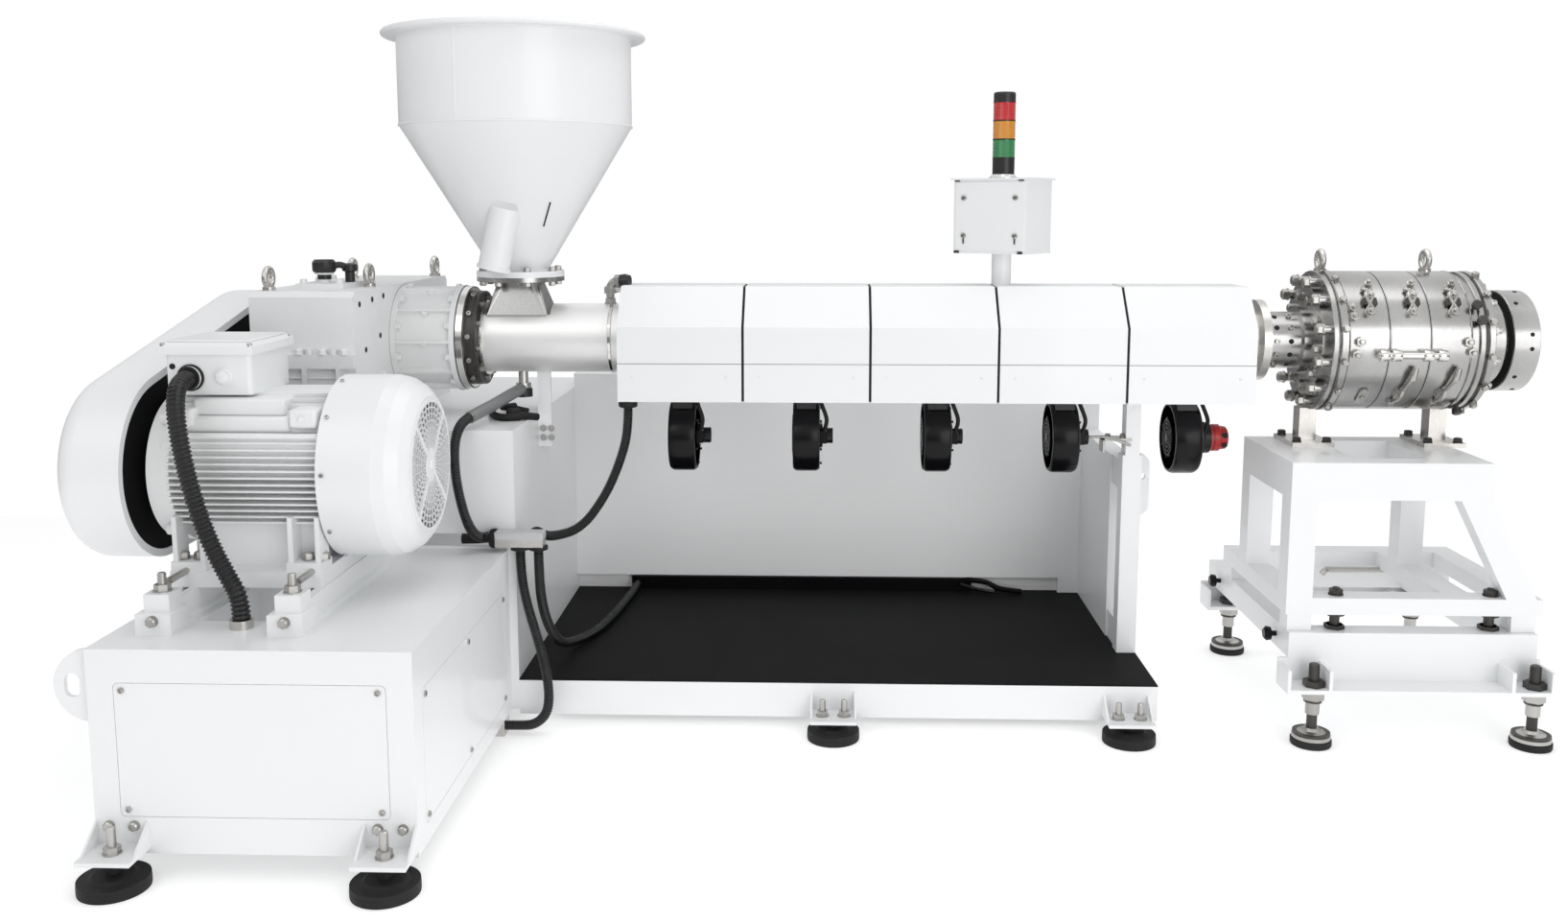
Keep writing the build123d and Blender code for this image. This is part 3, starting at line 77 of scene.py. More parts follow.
# %% Turned shapes
def grid_faces(rows, columns, wrap_rows=False):
    """Quads of a grid whose columns wrap round; point (i, j) is number i * columns + j."""
    last = rows if wrap_rows else rows - 1
    i, j = np.meshgrid(np.arange(last), np.arange(columns), indexing="ij")
    below, right = (i + 1) % rows, (j + 1) % columns
    return np.stack([i * columns + j, i * columns + right, below * columns + right, below * columns + j],
        -1).reshape(-1, 4)


def turned(profile, columns=24, closed=False):
    """Radius r at height z goes round the local z axis. A row is (z, r) or (z, r, 1); the 1 makes it
    a hexagon, with radius r / cos(angle from the middle of the flat), so r is half across the flats.
    A closed profile joins its last row to its first, and an open one gets flat ends."""
    rows = np.array([tuple(row) + (0.0,) * (3 - len(row)) for row in profile], float)
    angle = np.arange(columns) * 2 * pi / columns
    flat = (angle + pi / 6) % (pi / 3) - pi / 6
    radius = rows[:, 1:2] * (1 + rows[:, 2:3] * (1 / np.cos(flat) - 1))
    height = np.broadcast_to(rows[:, :1], radius.shape)
    points = np.stack([radius * np.cos(angle), radius * np.sin(angle), height], -1).reshape(-1, 3)
    faces = grid_faces(len(rows), columns, wrap_rows=closed)
    ring = np.arange(columns)
    ends = [] if closed else [ring[::-1], (len(rows) - 1) * columns + ring]
    return points, [faces] + [end.reshape(1, -1) for end in ends]


# %% Carried shapes
def carried(path, radius, sides=12, loop=False):
    """A circle of the given radius carried along a path. At each point the side vector is the
    path's direction crossed with one fixed vector, the one least along the whole path."""
    path = np.array(path, float)
    radius = np.broadcast_to(np.asarray(radius, float), len(path))
    ahead = np.roll(path, -1, 0) - np.roll(path, 1, 0)
    if not loop:
        ahead[0], ahead[-1] = path[1] - path[0], path[-1] - path[-2]
    ahead /= np.linalg.norm(ahead, axis=1)[:, None]
    fixed = np.eye(3)[np.argmin(np.abs(ahead).max(0))]
    side = np.cross(ahead, fixed)
    side /= np.linalg.norm(side, axis=1)[:, None]
    across = np.cross(ahead, side)
    angle = np.arange(sides) * 2 * pi / sides
    ring = np.cos(angle)[None, :, None] * side[:, None] + np.sin(angle)[None, :, None] * across[:, None]
    points = (path[:, None] + radius[:, None, None] * ring).reshape(-1, 3)
    faces = grid_faces(len(path), sides, wrap_rows=loop)
    edge = np.arange(sides)
    ends = [] if loop else [edge[::-1], (len(path) - 1) * sides + edge]
    return points, [faces] + [end.reshape(1, -1) for end in ends]


# %% Plates and blocks
def plate(outline, thickness):
    """A flat outline in local x and y, raised from z = 0 to the thickness. The outline runs
    anticlockwise seen from above, so its faces point outwards."""
    flat = np.array(outline, float)
    count = len(flat)
    lower = np.column_stack([flat, np.zeros(count)])
    upper = np.column_stack([flat, np.full(count, thickness)])
    edge = np.arange(count)
    return np.vstack([lower, upper]), [grid_faces(2, count), edge[::-1].reshape(1, -1),
        (count + edge).reshape(1, -1)]


def block(low, high):
    """A box between two corners."""
    (x0, y0, z0), (x1, y1, z1) = low, high
    points, faces = plate([(x0, y0), (x1, y0), (x1, y1), (x0, y1)], z1 - z0)
    return points + np.array([0, 0, z0]), faces


def arc(radius, start, end, count, centre=(0.0, 0.0)):
    """Points on a circle from one angle to another, in degrees."""
    turn = np.radians(np.linspace(start, end, count))
    return np.column_stack([centre[0] + radius * np.cos(turn), centre[1] + radius * np.sin(turn)])


# %% Many copies at once
def copies(shape, origins, axis=(0, 0, 1), spin=0.0, up=(0, 0, 1)):
    """Point p of the shape goes to origin + p.x side + p.y across + p.z axis. The side vector is up
    crossed with the axis, turned about the axis by spin degrees. Origins, axes and spins may each
    be one value or one per copy."""
    points, faces = shape
    origins = np.atleast_2d(np.array(origins, float))
    count = len(origins)
    axis = np.broadcast_to(np.array(axis, float), (count, 3))
    axis = axis / np.linalg.norm(axis, axis=1)[:, None]
    up = np.broadcast_to(np.array(up, float), (count, 3))
    up = np.where(np.abs((axis * up).sum(1))[:, None] > 0.99, np.array([0.0, 1.0, 0.0]), up)
    side = np.cross(up, axis)
    side /= np.linalg.norm(side, axis=1)[:, None]
    across = np.cross(axis, side)
    turn = np.radians(np.broadcast_to(spin, count))[:, None]
    first = side * np.cos(turn) + across * np.sin(turn)
    second = across * np.cos(turn) - side * np.sin(turn)
    basis = np.stack([first, second, axis], 1)
    moved = origins[:, None] + np.einsum("vk,nkd->nvd", points, basis)
    step = (np.arange(count) * len(points))[:, None, None]
    return moved.reshape(-1, 3), [(part[None] + step).reshape(-1, part.shape[1]) for part in faces]


def piece(name, shapes, finish, smooth=35.0, bevel=0.0):
    """Join shapes into one mesh with one finish, and let it ride on the machine's one body. Edges
    sharper than the smooth angle stay crisp; bevel rounds them by that many metres."""
    points, faces, start = [], [], 0
    for shape_points, shape_faces in shapes:
        points.append(shape_points)
        faces += [tuple(face) for part in shape_faces for face in (part + start).tolist()]
        start += len(shape_points)
    mesh = bpy.data.meshes.new(name)
    mesh.from_pydata(np.vstack(points).tolist(), [], faces)
    mesh.shade_smooth()
    mesh.set_sharp_from_angle(angle=radians(smooth))
    mesh.materials.append(finish)
    made = bpy.data.objects.new(name, mesh)
    bpy.context.scene.collection.objects.link(made)
    if bevel:
        rounding = made.modifiers.new("rounded_edges", "BEVEL")
        rounding.width, rounding.segments, rounding.limit_method = bevel, 2, "ANGLE"
        rounding.angle_limit = radians(40)
    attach(made, "root")
    print(name, len(faces), "faces")
    return made


# %% [markdown]
# ## Finishes
# The machine has few finishes: white two-pack paint, black paint, machined and cast steel,
# rubber and plastic. What they share is built once as a node group: a slow change of colour from
# dust and handling, paint or metal that wears bright or dark along edges, and a fine grain for the
# bump. Each material then places the group with its own values. The wear mask compares the true
# normal with a rounded one, which differ only close to an edge.

# %% One shader node
def add_node(tree, kind, inputs, output=0, **settings):
    """Make a shader node and set its options. Each input then gets a value or the output of another
    node, and one output is handed back."""
    made = tree.nodes.new("ShaderNode" + kind)
    for title, value in settings.items():
        setattr(made, title, value)
    for title, value in inputs.items():
        if isinstance(value, bpy.types.NodeSocket):
            tree.links.new(value, made.inputs[title])
        else:
            made.inputs[title].default_value = value
    return made.outputs[output]


# %% Shared worn-surface group
def worn_surface_group():
    """Colour = base, mixed to a dusty one by slow noise, and to the worn one where the rounded
    normal leaves the true normal and a finer noise agrees. Height is the fine grain."""
    group = bpy.data.node_groups.new("worn_surface", "ShaderNodeTree")
    sockets = {"Base": (0.8, 0.8, 0.8, 1), "Dusty": (0.7, 0.7, 0.68, 1), "Worn": (0.4, 0.4, 0.4, 1),
        "Dust": 0.3, "Wear": 0.4, "Edge": 0.004, "Grain": 400.0, "Stretch": 1.0, "Rough": 0.4,
        "Rough change": 0.1}
    for title, value in sockets.items():
        kind = "NodeSocketColor" if isinstance(value, tuple) else "NodeSocketFloat"
        group.interface.new_socket(title, in_out="INPUT", socket_type=kind).default_value = value
    for kind, title in (("Color", "Colour"), ("Float", "Roughness"), ("Float", "Height")):
        group.interface.new_socket(title, in_out="OUTPUT", socket_type="NodeSocket" + kind)
    given = group.nodes.new("NodeGroupInput").outputs
    put = group.nodes.new("NodeGroupOutput").inputs
    place = add_node(group, "TexCoord", {}, "Object")
    slow = add_node(group, "TexNoise", {"Scale": 2.6, "Detail": 4.0, "Vector": place}, "Fac")
    patch = add_node(group, "MapRange", {"From Min": 0.45, "From Max": 0.75, "Value": slow}, "Result")
    amount = add_node(group, "Math", {0: patch, 1: given["Dust"]}, operation="MULTIPLY")
    dusted = add_node(group, "Mix", {"Factor": amount, "A": given["Base"], "B": given["Dusty"]}, "Result",
        data_type="RGBA")
    rounded = add_node(group, "Bevel", {"Radius": given["Edge"]}, "Normal", samples=3)
    true_normal = add_node(group, "NewGeometry", {}, "Normal")
    agree = add_node(group, "VectorMath", {0: rounded, 1: true_normal}, "Value", operation="DOT_PRODUCT")
    chips = add_node(group, "TexNoise", {"Scale": 55.0, "Detail": 5.0, "Vector": place}, "Fac")
    limit = add_node(group, "MapRange", {"From Min": 0.97, "From Max": 0.8, "Value": agree}, "Result")
    chipped = add_node(group, "MapRange", {"From Min": 0.52, "From Max": 0.66, "Value": chips}, "Result")
    both = add_node(group, "Math", {0: limit, 1: chipped}, operation="MULTIPLY")
    share = add_node(group, "Math", {0: both, 1: given["Wear"]}, operation="MULTIPLY")
    worn = add_node(group, "Mix", {"Factor": share, "A": dusted, "B": given["Worn"]}, "Result",
        data_type="RGBA")
    stretch = add_node(group, "CombineXYZ", {"X": given["Stretch"], "Y": 1.0, "Z": 1.0})
    pulled = add_node(group, "VectorMath", {0: place, 1: stretch}, "Vector", operation="MULTIPLY")
    grain = add_node(group, "TexNoise", {"Detail": 3.0, "Vector": pulled, "Scale": given["Grain"]}, "Fac")
    centred = add_node(group, "Math", {0: grain, 1: 0.5}, operation="SUBTRACT")
    rough = add_node(group, "Math", {0: centred, 1: given["Rough change"], 2: given["Rough"]},
        operation="MULTIPLY_ADD")
    for title, value in (("Colour", worn), ("Height", grain), ("Roughness", rough)):
        group.links.new(value, put[title])
    return group


worn_surface = worn_surface_group()


# %% One finish
def finish(name, base, worn=None, dusty=None, rough=0.4, rough_change=0.1, metal=0.0, dust=0.3, wear=0.4,
        edge=0.004, grain=400.0, stretch=1.0, bump=0.05, coat=0.0, shine=0.5):
    """A Principled material fed by the worn-surface group, with its own colours and amounts. A worn
    or dusty colour given as one number is a grey."""
    made = bpy.data.materials.new(name)
    made.use_nodes = True
    tree = made.node_tree
    shader = tree.nodes["Principled BSDF"]
    shader.inputs["Metallic"].default_value = metal
    shader.inputs["Coat Weight"].default_value = coat
    shader.inputs["Specular IOR Level"].default_value = shine
    surface = tree.nodes.new("ShaderNodeGroup")
    surface.node_tree = worn_surface
    base = np.array(base, float)
    colours = {"Base": base, "Dusty": base * 0.9 if dusty is None else dusty,
        "Worn": base * 0.6 if worn is None else worn}
    amounts = {"Dust": dust, "Wear": wear, "Edge": edge, "Grain": grain, "Stretch": stretch, "Rough": rough,
        "Rough change": rough_change}
    for title, colour in colours.items():
        surface.inputs[title].default_value = (*np.broadcast_to(colour, 3), 1.0)
    for title, value in amounts.items():
        surface.inputs[title].default_value = value
    tree.links.new(surface.outputs["Colour"], shader.inputs["Base Color"])
    tree.links.new(surface.outputs["Roughness"], shader.inputs["Roughness"])
    relief = add_node(tree, "Bump",
        {"Strength": bump, "Distance": 0.001, "Height": surface.outputs["Height"]})
    tree.links.new(relief, shader.inputs["Normal"])
    return made


fresh_paint = {"rough": 0.36, "coat": 0.15, "wear": 0.25, "bump": 0.03}
clear_lens = {"rough": 0.12, "wear": 0.0, "coat": 0.6, "bump": 0.0}
brushed = {"grain": 60.0, "stretch": 14.0}
white_paint = finish("white_paint", (0.86, 0.87, 0.88), worn=0.6, dusty=(0.82, 0.825, 0.83), **fresh_paint)
# painted light: a whiter copy of the white paint, put only on the rear cabinet to lift it out of the shade
# that the covers cast on it
painted_light_white = finish("painted_light_white", (0.94, 0.945, 0.95), worn=0.6, dusty=(0.91, 0.915, 0.92), **fresh_paint)
cast_white_paint = finish("cast_white_paint", (0.84, 0.85, 0.86), worn=0.55, dusty=(0.77, 0.77, 0.76),
    rough=0.5, dust=0.6, wear=0.4, grain=160.0, bump=0.25)
grey_paint = finish("grey_paint", (0.55, 0.56, 0.57), rough=0.4, bump=0.04)
black_paint = finish("black_paint", (0.008, 0.008, 0.009), worn=0.06, dusty=0.014, rough=0.6, bump=0.05,
    shine=0.06)
machined_steel = finish("machined_steel", (0.6, 0.585, 0.56), worn=(0.8, 0.8, 0.78), dusty=(0.46, 0.44, 0.41),
    metal=1.0, rough=0.3, rough_change=0.25, dust=0.6, wear=0.5, **brushed, bump=0.1)
polished_steel = finish("polished_steel", (0.74, 0.73, 0.71), dusty=(0.6, 0.59, 0.57), metal=1.0, rough=0.14,
    rough_change=0.1, dust=0.4, grain=50.0, stretch=16.0, bump=0.03)
bolt_steel = finish("bolt_steel", (0.5, 0.49, 0.47), worn=(0.75, 0.75, 0.73), dusty=(0.3, 0.29, 0.27),
    metal=1.0, rough=0.33, dust=0.7, wear=0.6, edge=0.0015, grain=300.0, bump=0.06)
dark_steel = finish("dark_steel", (0.06, 0.058, 0.055), worn=(0.3, 0.29, 0.28), dusty=(0.12, 0.11, 0.1),
    metal=0.7, rough=0.42, wear=0.7, edge=0.002, grain=260.0, bump=0.08)
black_rubber = finish("black_rubber", (0.014, 0.014, 0.014), dusty=(0.03, 0.03, 0.029), rough=0.62, dust=0.5,
    wear=0.0, grain=500.0, bump=0.12, shine=0.25)
black_plastic = finish("black_plastic", (0.012, 0.012, 0.013), worn=0.05, dusty=0.03, rough=0.38, wear=0.3,
    grain=700.0, bump=0.06)
red_plastic = finish("red_plastic", (0.42, 0.012, 0.015), dusty=(0.3, 0.02, 0.02), rough=0.35, wear=0.2,
    bump=0.03)
gloss_black = finish("gloss_black", (0.004, 0.004, 0.005), worn=0.02, dusty=0.007, rough=0.24, wear=0.2,
    grain=600.0, bump=0.02, shine=0.2)
hose_black = finish("hose_black", (0.007, 0.007, 0.008), dusty=0.014, rough=0.26, dust=0.4, wear=0.0,
    grain=600.0, bump=0.02, shine=0.4)
grey_hose = finish("grey_hose", (0.2, 0.205, 0.21), dusty=(0.28, 0.28, 0.27), rough=0.4, wear=0.0, bump=0.05)
# painted shade: a matt near-black for the disc inside the fan cowl, seen through the gaps of the guard
painted_fan_shade = finish("painted_fan_shade", (0.012, 0.012, 0.012), worn=0.05, dusty=0.03, rough=0.6, bump=0.05,
    shine=0.05)
die_steel = finish("die_steel", (0.49, 0.487, 0.48), worn=(0.7, 0.695, 0.69), dusty=(0.25, 0.247, 0.24),
    metal=1.0, rough=0.24, rough_change=0.25, dust=0.8, wear=0.6, **brushed, bump=0.08)
bright_steel = finish("bright_steel", (0.9, 0.9, 0.89), dusty=(0.78, 0.775, 0.76), metal=0.55, rough=0.4,
    rough_change=0.1, dust=0.4, **brushed, bump=0.03)
seam_grey = finish("seam_grey", (0.16, 0.16, 0.165), rough=0.6, dust=0.0, wear=0.0)
lens_green = finish("lens_green", (0.012, 0.2, 0.055), dusty=(0.012, 0.16, 0.05), **clear_lens)
lens_amber = finish("lens_amber", (0.62, 0.24, 0.012), dusty=(0.52, 0.2, 0.01), **clear_lens)
lens_red = finish("lens_red", (0.5, 0.01, 0.012), dusty=(0.42, 0.01, 0.012), **clear_lens)
# painted shade: a matt near-black laid into holes, throats, joints and gaps, standing for the shade that
# falls inside them
painted_hole_shade = finish("painted_hole_shade", (0.006, 0.006, 0.006), rough=0.8, dust=0.0, wear=0.0)

# %% [markdown]
# ## Floor, world and lamps
# A studio photograph of white machinery needs soft light from everywhere and a pale ground. The
# world gives the fill. The camera sees it white, also through glass. Reflections see bands that
# grow from dark to light with height instead, so that polished steel shows a studio and not a
# grey void. Three large area lamps model the shapes.

# %% Stage
floor_mesh = bpy.data.meshes.new("studio_floor")
floor_mesh.from_pydata([(-5, -5, 0), (5, -5, 0), (5, 2.6, 0), (-5, 2.6, 0)], [], [(0, 1, 2, 3)])
studio_floor = bpy.data.objects.new("studio_floor", floor_mesh)
bpy.context.scene.collection.objects.link(studio_floor)
floor_material = bpy.data.materials.new("studio_floor")
floor_material.use_nodes = True
floor_values = {"Base Color": (0.86, 0.86, 0.86, 1), "Roughness": 0.75, "Emission Color": (1.0, 1.0, 1.0, 1),
    "Emission Strength": 0.4}
for title, value in floor_values.items():
    floor_material.node_tree.nodes["Principled BSDF"].inputs[title].default_value = value
floor_mesh.materials.append(floor_material)

# %% World
world = bpy.data.worlds.new("studio_world")
bpy.context.scene.world = world
world.use_nodes = True
world_tree = world.node_tree
fill = world_tree.nodes["Background"]
fill.inputs["Color"].default_value = (1.0, 1.0, 1.0, 1)
fill.inputs["Strength"].default_value = 0.56
seen = add_node(world_tree, "Background", {"Color": (1.0, 1.0, 1.0, 1), "Strength": 1.0})
direction = add_node(world_tree, "TexCoord", {}, "Generated")
height = add_node(world_tree, "SeparateXYZ", {"Vector": direction}, "Z")
bands = add_node(world_tree, "ValToRGB", {"Fac": height})
ramp = bands.node.color_ramp
for place, value in ((0.0, 0.25), (0.06, 0.12), (0.16, 0.75), (0.45, 0.95)):
    stop = ramp.elements.new(place) if place else ramp.elements[0]
    stop.position, stop.color = place, (value, value, value * 1.01, 1)
reflected = add_node(world_tree, "Background", {"Color": bands})
ray = world_tree.nodes.new("ShaderNodeLightPath").outputs
lit = add_node(world_tree, "MixShader", {"Fac": ray["Is Glossy Ray"], 1: fill.outputs[0], 2: reflected})
direct = add_node(world_tree, "Math", {0: ray["Is Camera Ray"], 1: ray["Is Transmission Ray"]},
    operation="MAXIMUM")
shown = add_node(world_tree, "MixShader", {"Fac": direct, 1: lit, 2: seen})
world_tree.links.new(shown, world_tree.nodes["World Output"].inputs["Surface"])
bpy.context.scene.view_settings.view_transform = "Standard"


# %% Lamps
def area_lamp(name, place, aim, size, power):
    """A square lamp at a place, turned to face the aim."""
    data = bpy.data.lights.new(name, "AREA")
    data.size, data.energy = size, power
    lamp = bpy.data.objects.new(name, data)
    lamp.location = place
    bpy.context.scene.collection.objects.link(lamp)
    gap = np.array(aim, float) - np.array(place, float)
    flat = float(np.hypot(gap[0], gap[1]))
    lamp.rotation_euler = (float(np.arctan2(flat, -gap[2])), 0.0, float(np.arctan2(-gap[0], gap[1])))


area_lamp("key_lamp", (-3.2, -3.6, 4.2), (0.0, 0.2, 0.8), 3.0, 32.0)
area_lamp("top_lamp", (0.6, 0.4, 4.6), (0.2, 0.2, 0.8), 4.0, 62.0)
area_lamp("front_lamp", (3.4, -6.0, 1.8), (0.0, 0.2, 0.8), 4.0, 118.0)

# %% [markdown]
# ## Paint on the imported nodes
# The nodes whose shape is already right keep it and only get a finish here, by the slot that the
# record gives each of them. Castings get the rougher paint.

# %% Node finishes
slot_finish = {"white_paint": white_paint, "black_paint": black_paint, "machined_steel": machined_steel,
    "dark_steel": dark_steel, "black_rubber": black_rubber, "black_plastic": black_plastic,
    "red_plastic": red_plastic, "black_conduit": hose_black, "lens_green": lens_green,
    "lens_amber": lens_amber, "lens_red": lens_red}
cast_nodes = ("motor_body", "motor_end_shield", "gearbox_lower_case", "gearbox_upper_case", "thrust_housing")
die_nodes = ("throat_adapter", "die_adapter", "die_flanges", "die_body", "die_nose_core", "die_nose_ring")
# the rear cabinet takes the whiter copy of the paint, painted light for the shade it stands in
own_finish = {"rear_cabinet": painted_light_white, "feed_flange": dark_steel, "feed_section": bright_steel}
own_finish.update({name: die_steel for name in die_nodes})
own_finish.update({name: cast_white_paint for name in cast_nodes})
for part in frame["record"]["subparts"]:
    chosen = own_finish.get(part["node"], slot_finish.get(part["material_slot"], white_paint))
    mesh = nodes[part["node"]].data
    mesh.materials.clear()
    mesh.materials.append(chosen)

# %% [markdown]
# ## The conduits
# Five corrugated hoses hang free. Each one is laid first as a plain curve: the points of its route
# are the control points of a NURBS spline, which passes smoothly inside the corners as a real hose
# does. The tube then follows the points of that curve, and its radius rises and falls along the
# way, one rib every eight to eleven millimetres. The motor's hose is the thickest.

# %% Hose routes and ribs
def corrugated(name, route, node, radius):
    """Read the smooth line of the route's spline, step evenly along it, and carry a circle whose
    radius is the mean radius plus a small wave: r = mean + depth * cos(2 pi s / pitch), clipped so
    that the ribs have flat tops, like moulded conduit."""
    curve = bpy.data.curves.new(name + "_line", "CURVE")
    curve.dimensions, curve.resolution_u = "3D", 24
    spline = curve.splines.new("NURBS")
    spline.points.add(len(route) - 1)
    for point, place in zip(spline.points, route):
        point.co = (*place, 1.0)
    spline.order_u, spline.use_endpoint_u = 3, True
    line_object = bpy.data.objects.new(name + "_line", curve)
    line = bpy.data.meshes.new_from_object(line_object)
    smooth = np.array([vertex.co[:] for vertex in line.vertices])
    bpy.data.objects.remove(line_object)
    run = np.concatenate([[0.0], np.cumsum(np.linalg.norm(np.diff(smooth, axis=0), axis=1))])
    steps = int(run[-1] / (radius * 0.075))
    along = np.linspace(0.0, run[-1], steps)
    path = np.column_stack([np.interp(along, run, smooth[:, k]) for k in range(3)])
    wave = np.clip(1.6 * np.cos(2 * pi * along / (0.45 * radius + 0.001)), -1.0, 1.0)
    hose = piece(name, [carried(path, radius * (0.925 + 0.085 * wave), sides=16)], hose_black, smooth=60)
    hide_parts(node)
    print(name, "length", round(float(run[-1]), 3))


hose_routes = {
    "motor_conduit": (
        (-1.716, -0.678, 1.137), (-1.716, -0.732, 1.137), (-1.702, -0.784, 1.078), (-1.68, -0.812, 0.99),
        (-1.657, -0.826, 0.9), (-1.632, -0.832, 0.816), (-1.602, -0.838, 0.742), (-1.564, -0.85, 0.678),
        (-1.53, -0.862, 0.626), (-1.53, -0.862, 0.576)),
    "feed_conduit": (
        (-1.176, -0.07, 0.944), (-1.188, -0.116, 0.938), (-1.198, -0.158, 0.882), (-1.192, -0.174, 0.788),
        (-1.176, -0.18, 0.708), (-1.16, -0.176, 0.648), (-1.146, -0.15, 0.608), (-1.128, -0.116, 0.592),
        (-1.092, -0.116, 0.592)),
    "cover_conduit": (
        (-0.727, 0.095, 0.96), (-0.727, 0.095, 0.884), (-0.752, 0.092, 0.788), (-0.798, 0.074, 0.68),
        (-0.866, 0.03, 0.588), (-0.946, -0.016, 0.572), (-0.978, -0.052, 0.592), (-0.978, -0.092, 0.592)),
    "floor_conduit": (
        (-1.022, -0.116, 0.57), (-1.022, -0.116, 0.486), (-1.002, -0.132, 0.394), (-0.972, -0.143, 0.3),
        (-0.946, -0.148, 0.2), (-0.938, -0.15, 0.118), (-0.948, -0.15, 0.064), (-0.986, -0.145, 0.03),
        (-1.03, -0.14, 0.026), (-1.07, -0.14, 0.026)),
    "cabinet_conduit": (
        (-0.968, -0.116, 0.57), (-0.968, -0.116, 0.488), (-0.968, -0.092, 0.392), (-0.962, -0.024, 0.292),
        (-0.948, 0.086, 0.204), (-0.922, 0.214, 0.172), (-0.872, 0.346, 0.168), (-0.846, 0.52, 0.169),
        (-0.832, 0.68, 0.168), (-0.82, 0.8, 0.171), (-0.82, 0.896, 0.171)),
}
for hose_name, hose_route in hose_routes.items():
    corrugated(hose_name + "_hose", hose_route, hose_name,
        0.022 if hose_name == "motor_conduit" else 0.015)

# %% [markdown]
# ## Fasteners
# A machine like this is held together by a few sizes of bolt. Three profiles serve for all of
# them: a hexagon head on its washer, a socket head, and a stud with its nut.

# %% Bolts, screws and studs
barrel_y, barrel_z = 0.2675, 1.151
hopper_x = -1.087
to_die, to_drive, to_front, to_floor = (1, 0, 0), (-1, 0, 0), (0, -1, 0), (0, 0, -1)


def hex_bolt(across, height):
    """A washer, then a hexagon head with a turned crown; across is the width across the flats."""
    half = across / 2
    return turned([(0, half * 1.3), (height * 0.2, half * 1.3), (height * 0.2, half, 1),
        (height * 0.85, half, 1), (height, half * 0.85)], 12)


def socket_bolt(radius, height):
    """A round head with a hexagon socket sunk into its top."""
    return turned([(0, radius), (height * 0.9, radius), (height, radius * 0.9), (height, radius * 0.52, 1),
        (height * 0.4, radius * 0.5, 1)], 12)


def stud_nut(radius, length):
    """A washer and a nut on a threaded stud that stands out past them."""
    return turned([(0, radius * 2.2), (radius * 0.35, radius * 2.2), (radius * 0.35, radius * 1.7, 1),
        (radius * 1.8, radius * 1.7, 1), (radius * 1.9, radius * 1.05), (length, radius),
        (length + radius * 0.2, radius * 0.75)], 12)


def ring(x, radius, count, start=0.0, y=barrel_y, z=barrel_z):
    """Points round an axis along X: (x, y + radius cos a, z + radius sin a)."""
    turn = np.radians(start + np.arange(count) * 360.0 / count)
    return np.column_stack([np.full(count, x), y + radius * np.cos(turn), z + radius * np.sin(turn)])


def ring_up(x, y, z, radius, count, start=0.0):
    """Points round an upright axis at the height z."""
    turn = np.radians(start + np.arange(count) * 360.0 / count)
    return np.column_stack([x + radius * np.cos(turn), y + radius * np.sin(turn), np.full(count, z)])


def on_drum(x, turn, radius, y=barrel_y, z=barrel_z):
    """A point on a drum along X and the outward direction there; turn is in degrees up from the side
    that faces the operator."""
    angle = np.radians(turn)
    out = np.array([0.0, -np.cos(angle), np.sin(angle)])
    return np.array([x, y, z]) + out * radius, out


def drum_spots(spots, radius, y=barrel_y, z=barrel_z):
    """The places, and then the outward directions, of many spots (x, turn) on a drum."""
    found = [on_drum(x, turn, radius, y, z) for x, turn in spots]
    return [place for place, out in found], [out for place, out in found]


def rod(radius, height, columns):
    """A plain round bar or disc."""
    return turned([(0, radius), (height, radius)], columns)


def lathe(profile, columns, places, axis=(0, 0, 1)):
    """A turned shape set at each of the places."""
    return copies(turned(profile, columns), places, axis)


def flat_rings(radii, half, depth, columns, place):
    """Flat rings round an axis along X, one for each radius, 2 * half wide and depth thick."""
    return [copies(turned([(0, r + half), (depth, r + half), (depth, r - half), (0, r - half)], columns,
        closed=True), place, to_die) for r in radii]


def spokes(low, high, place, count, start=0.0):
    """One block set round an axis along X, at equal angles from the start."""
    return [copies(block(low, high), place, to_die, spin=start + 360 / count * k) for k in range(count)]


def tube(x0, x1, outer, inner, y=barrel_y, z=barrel_z, soft=0.002, columns=96):
    """A turned ring along X with slightly rounded outer edges."""
    shape = turned([(0, inner), (0, outer - soft), (soft, outer), (x1 - x0 - soft, outer),
        (x1 - x0, outer - soft), (x1 - x0, inner)], columns, closed=True)
    return copies(shape, (x0, y, z), to_die)


def thin_wire(points, radius, sides=10):
    """A round bar through smooth points: each segment is split in eight along a Catmull-Rom curve."""
    p = np.array(points, float)
    p = np.vstack([2 * p[0] - p[1], p, 2 * p[-1] - p[-2]])
    t = np.linspace(0, 1, 8, endpoint=False)[:, None]
    made = [0.5 * (2 * b + (c - a) * t + (2 * a - 5 * b + 4 * c - d) * t ** 2
        + (3 * b - a - 3 * c + d) * t ** 3) for a, b, c, d in zip(p, p[1:], p[2:], p[3:])]
    return carried(np.vstack(made + [p[-2:-1]]), radius, sides)

# %% [markdown]
# ## The die
# The die is the brightest part of the machine: turned and polished steel, clamped by rings of
# bolts. Its three heater bands open on a hinge bar and close with toggle clamps.

# %% Die body, bands and flanges
outer_face, inner_face = 1.8605, 1.8685
die_skin = [tube(1.4335 + 0.12 * k, 1.5475 + 0.12 * k, 0.2145, 0.2105, soft=0.0015) for k in range(3)]
die_skin += [tube(1.4305, 1.4345, 0.216, 0.21), tube(1.7885, 1.7925, 0.216, 0.21)]
piece("die_band_skins", die_skin, die_steel)
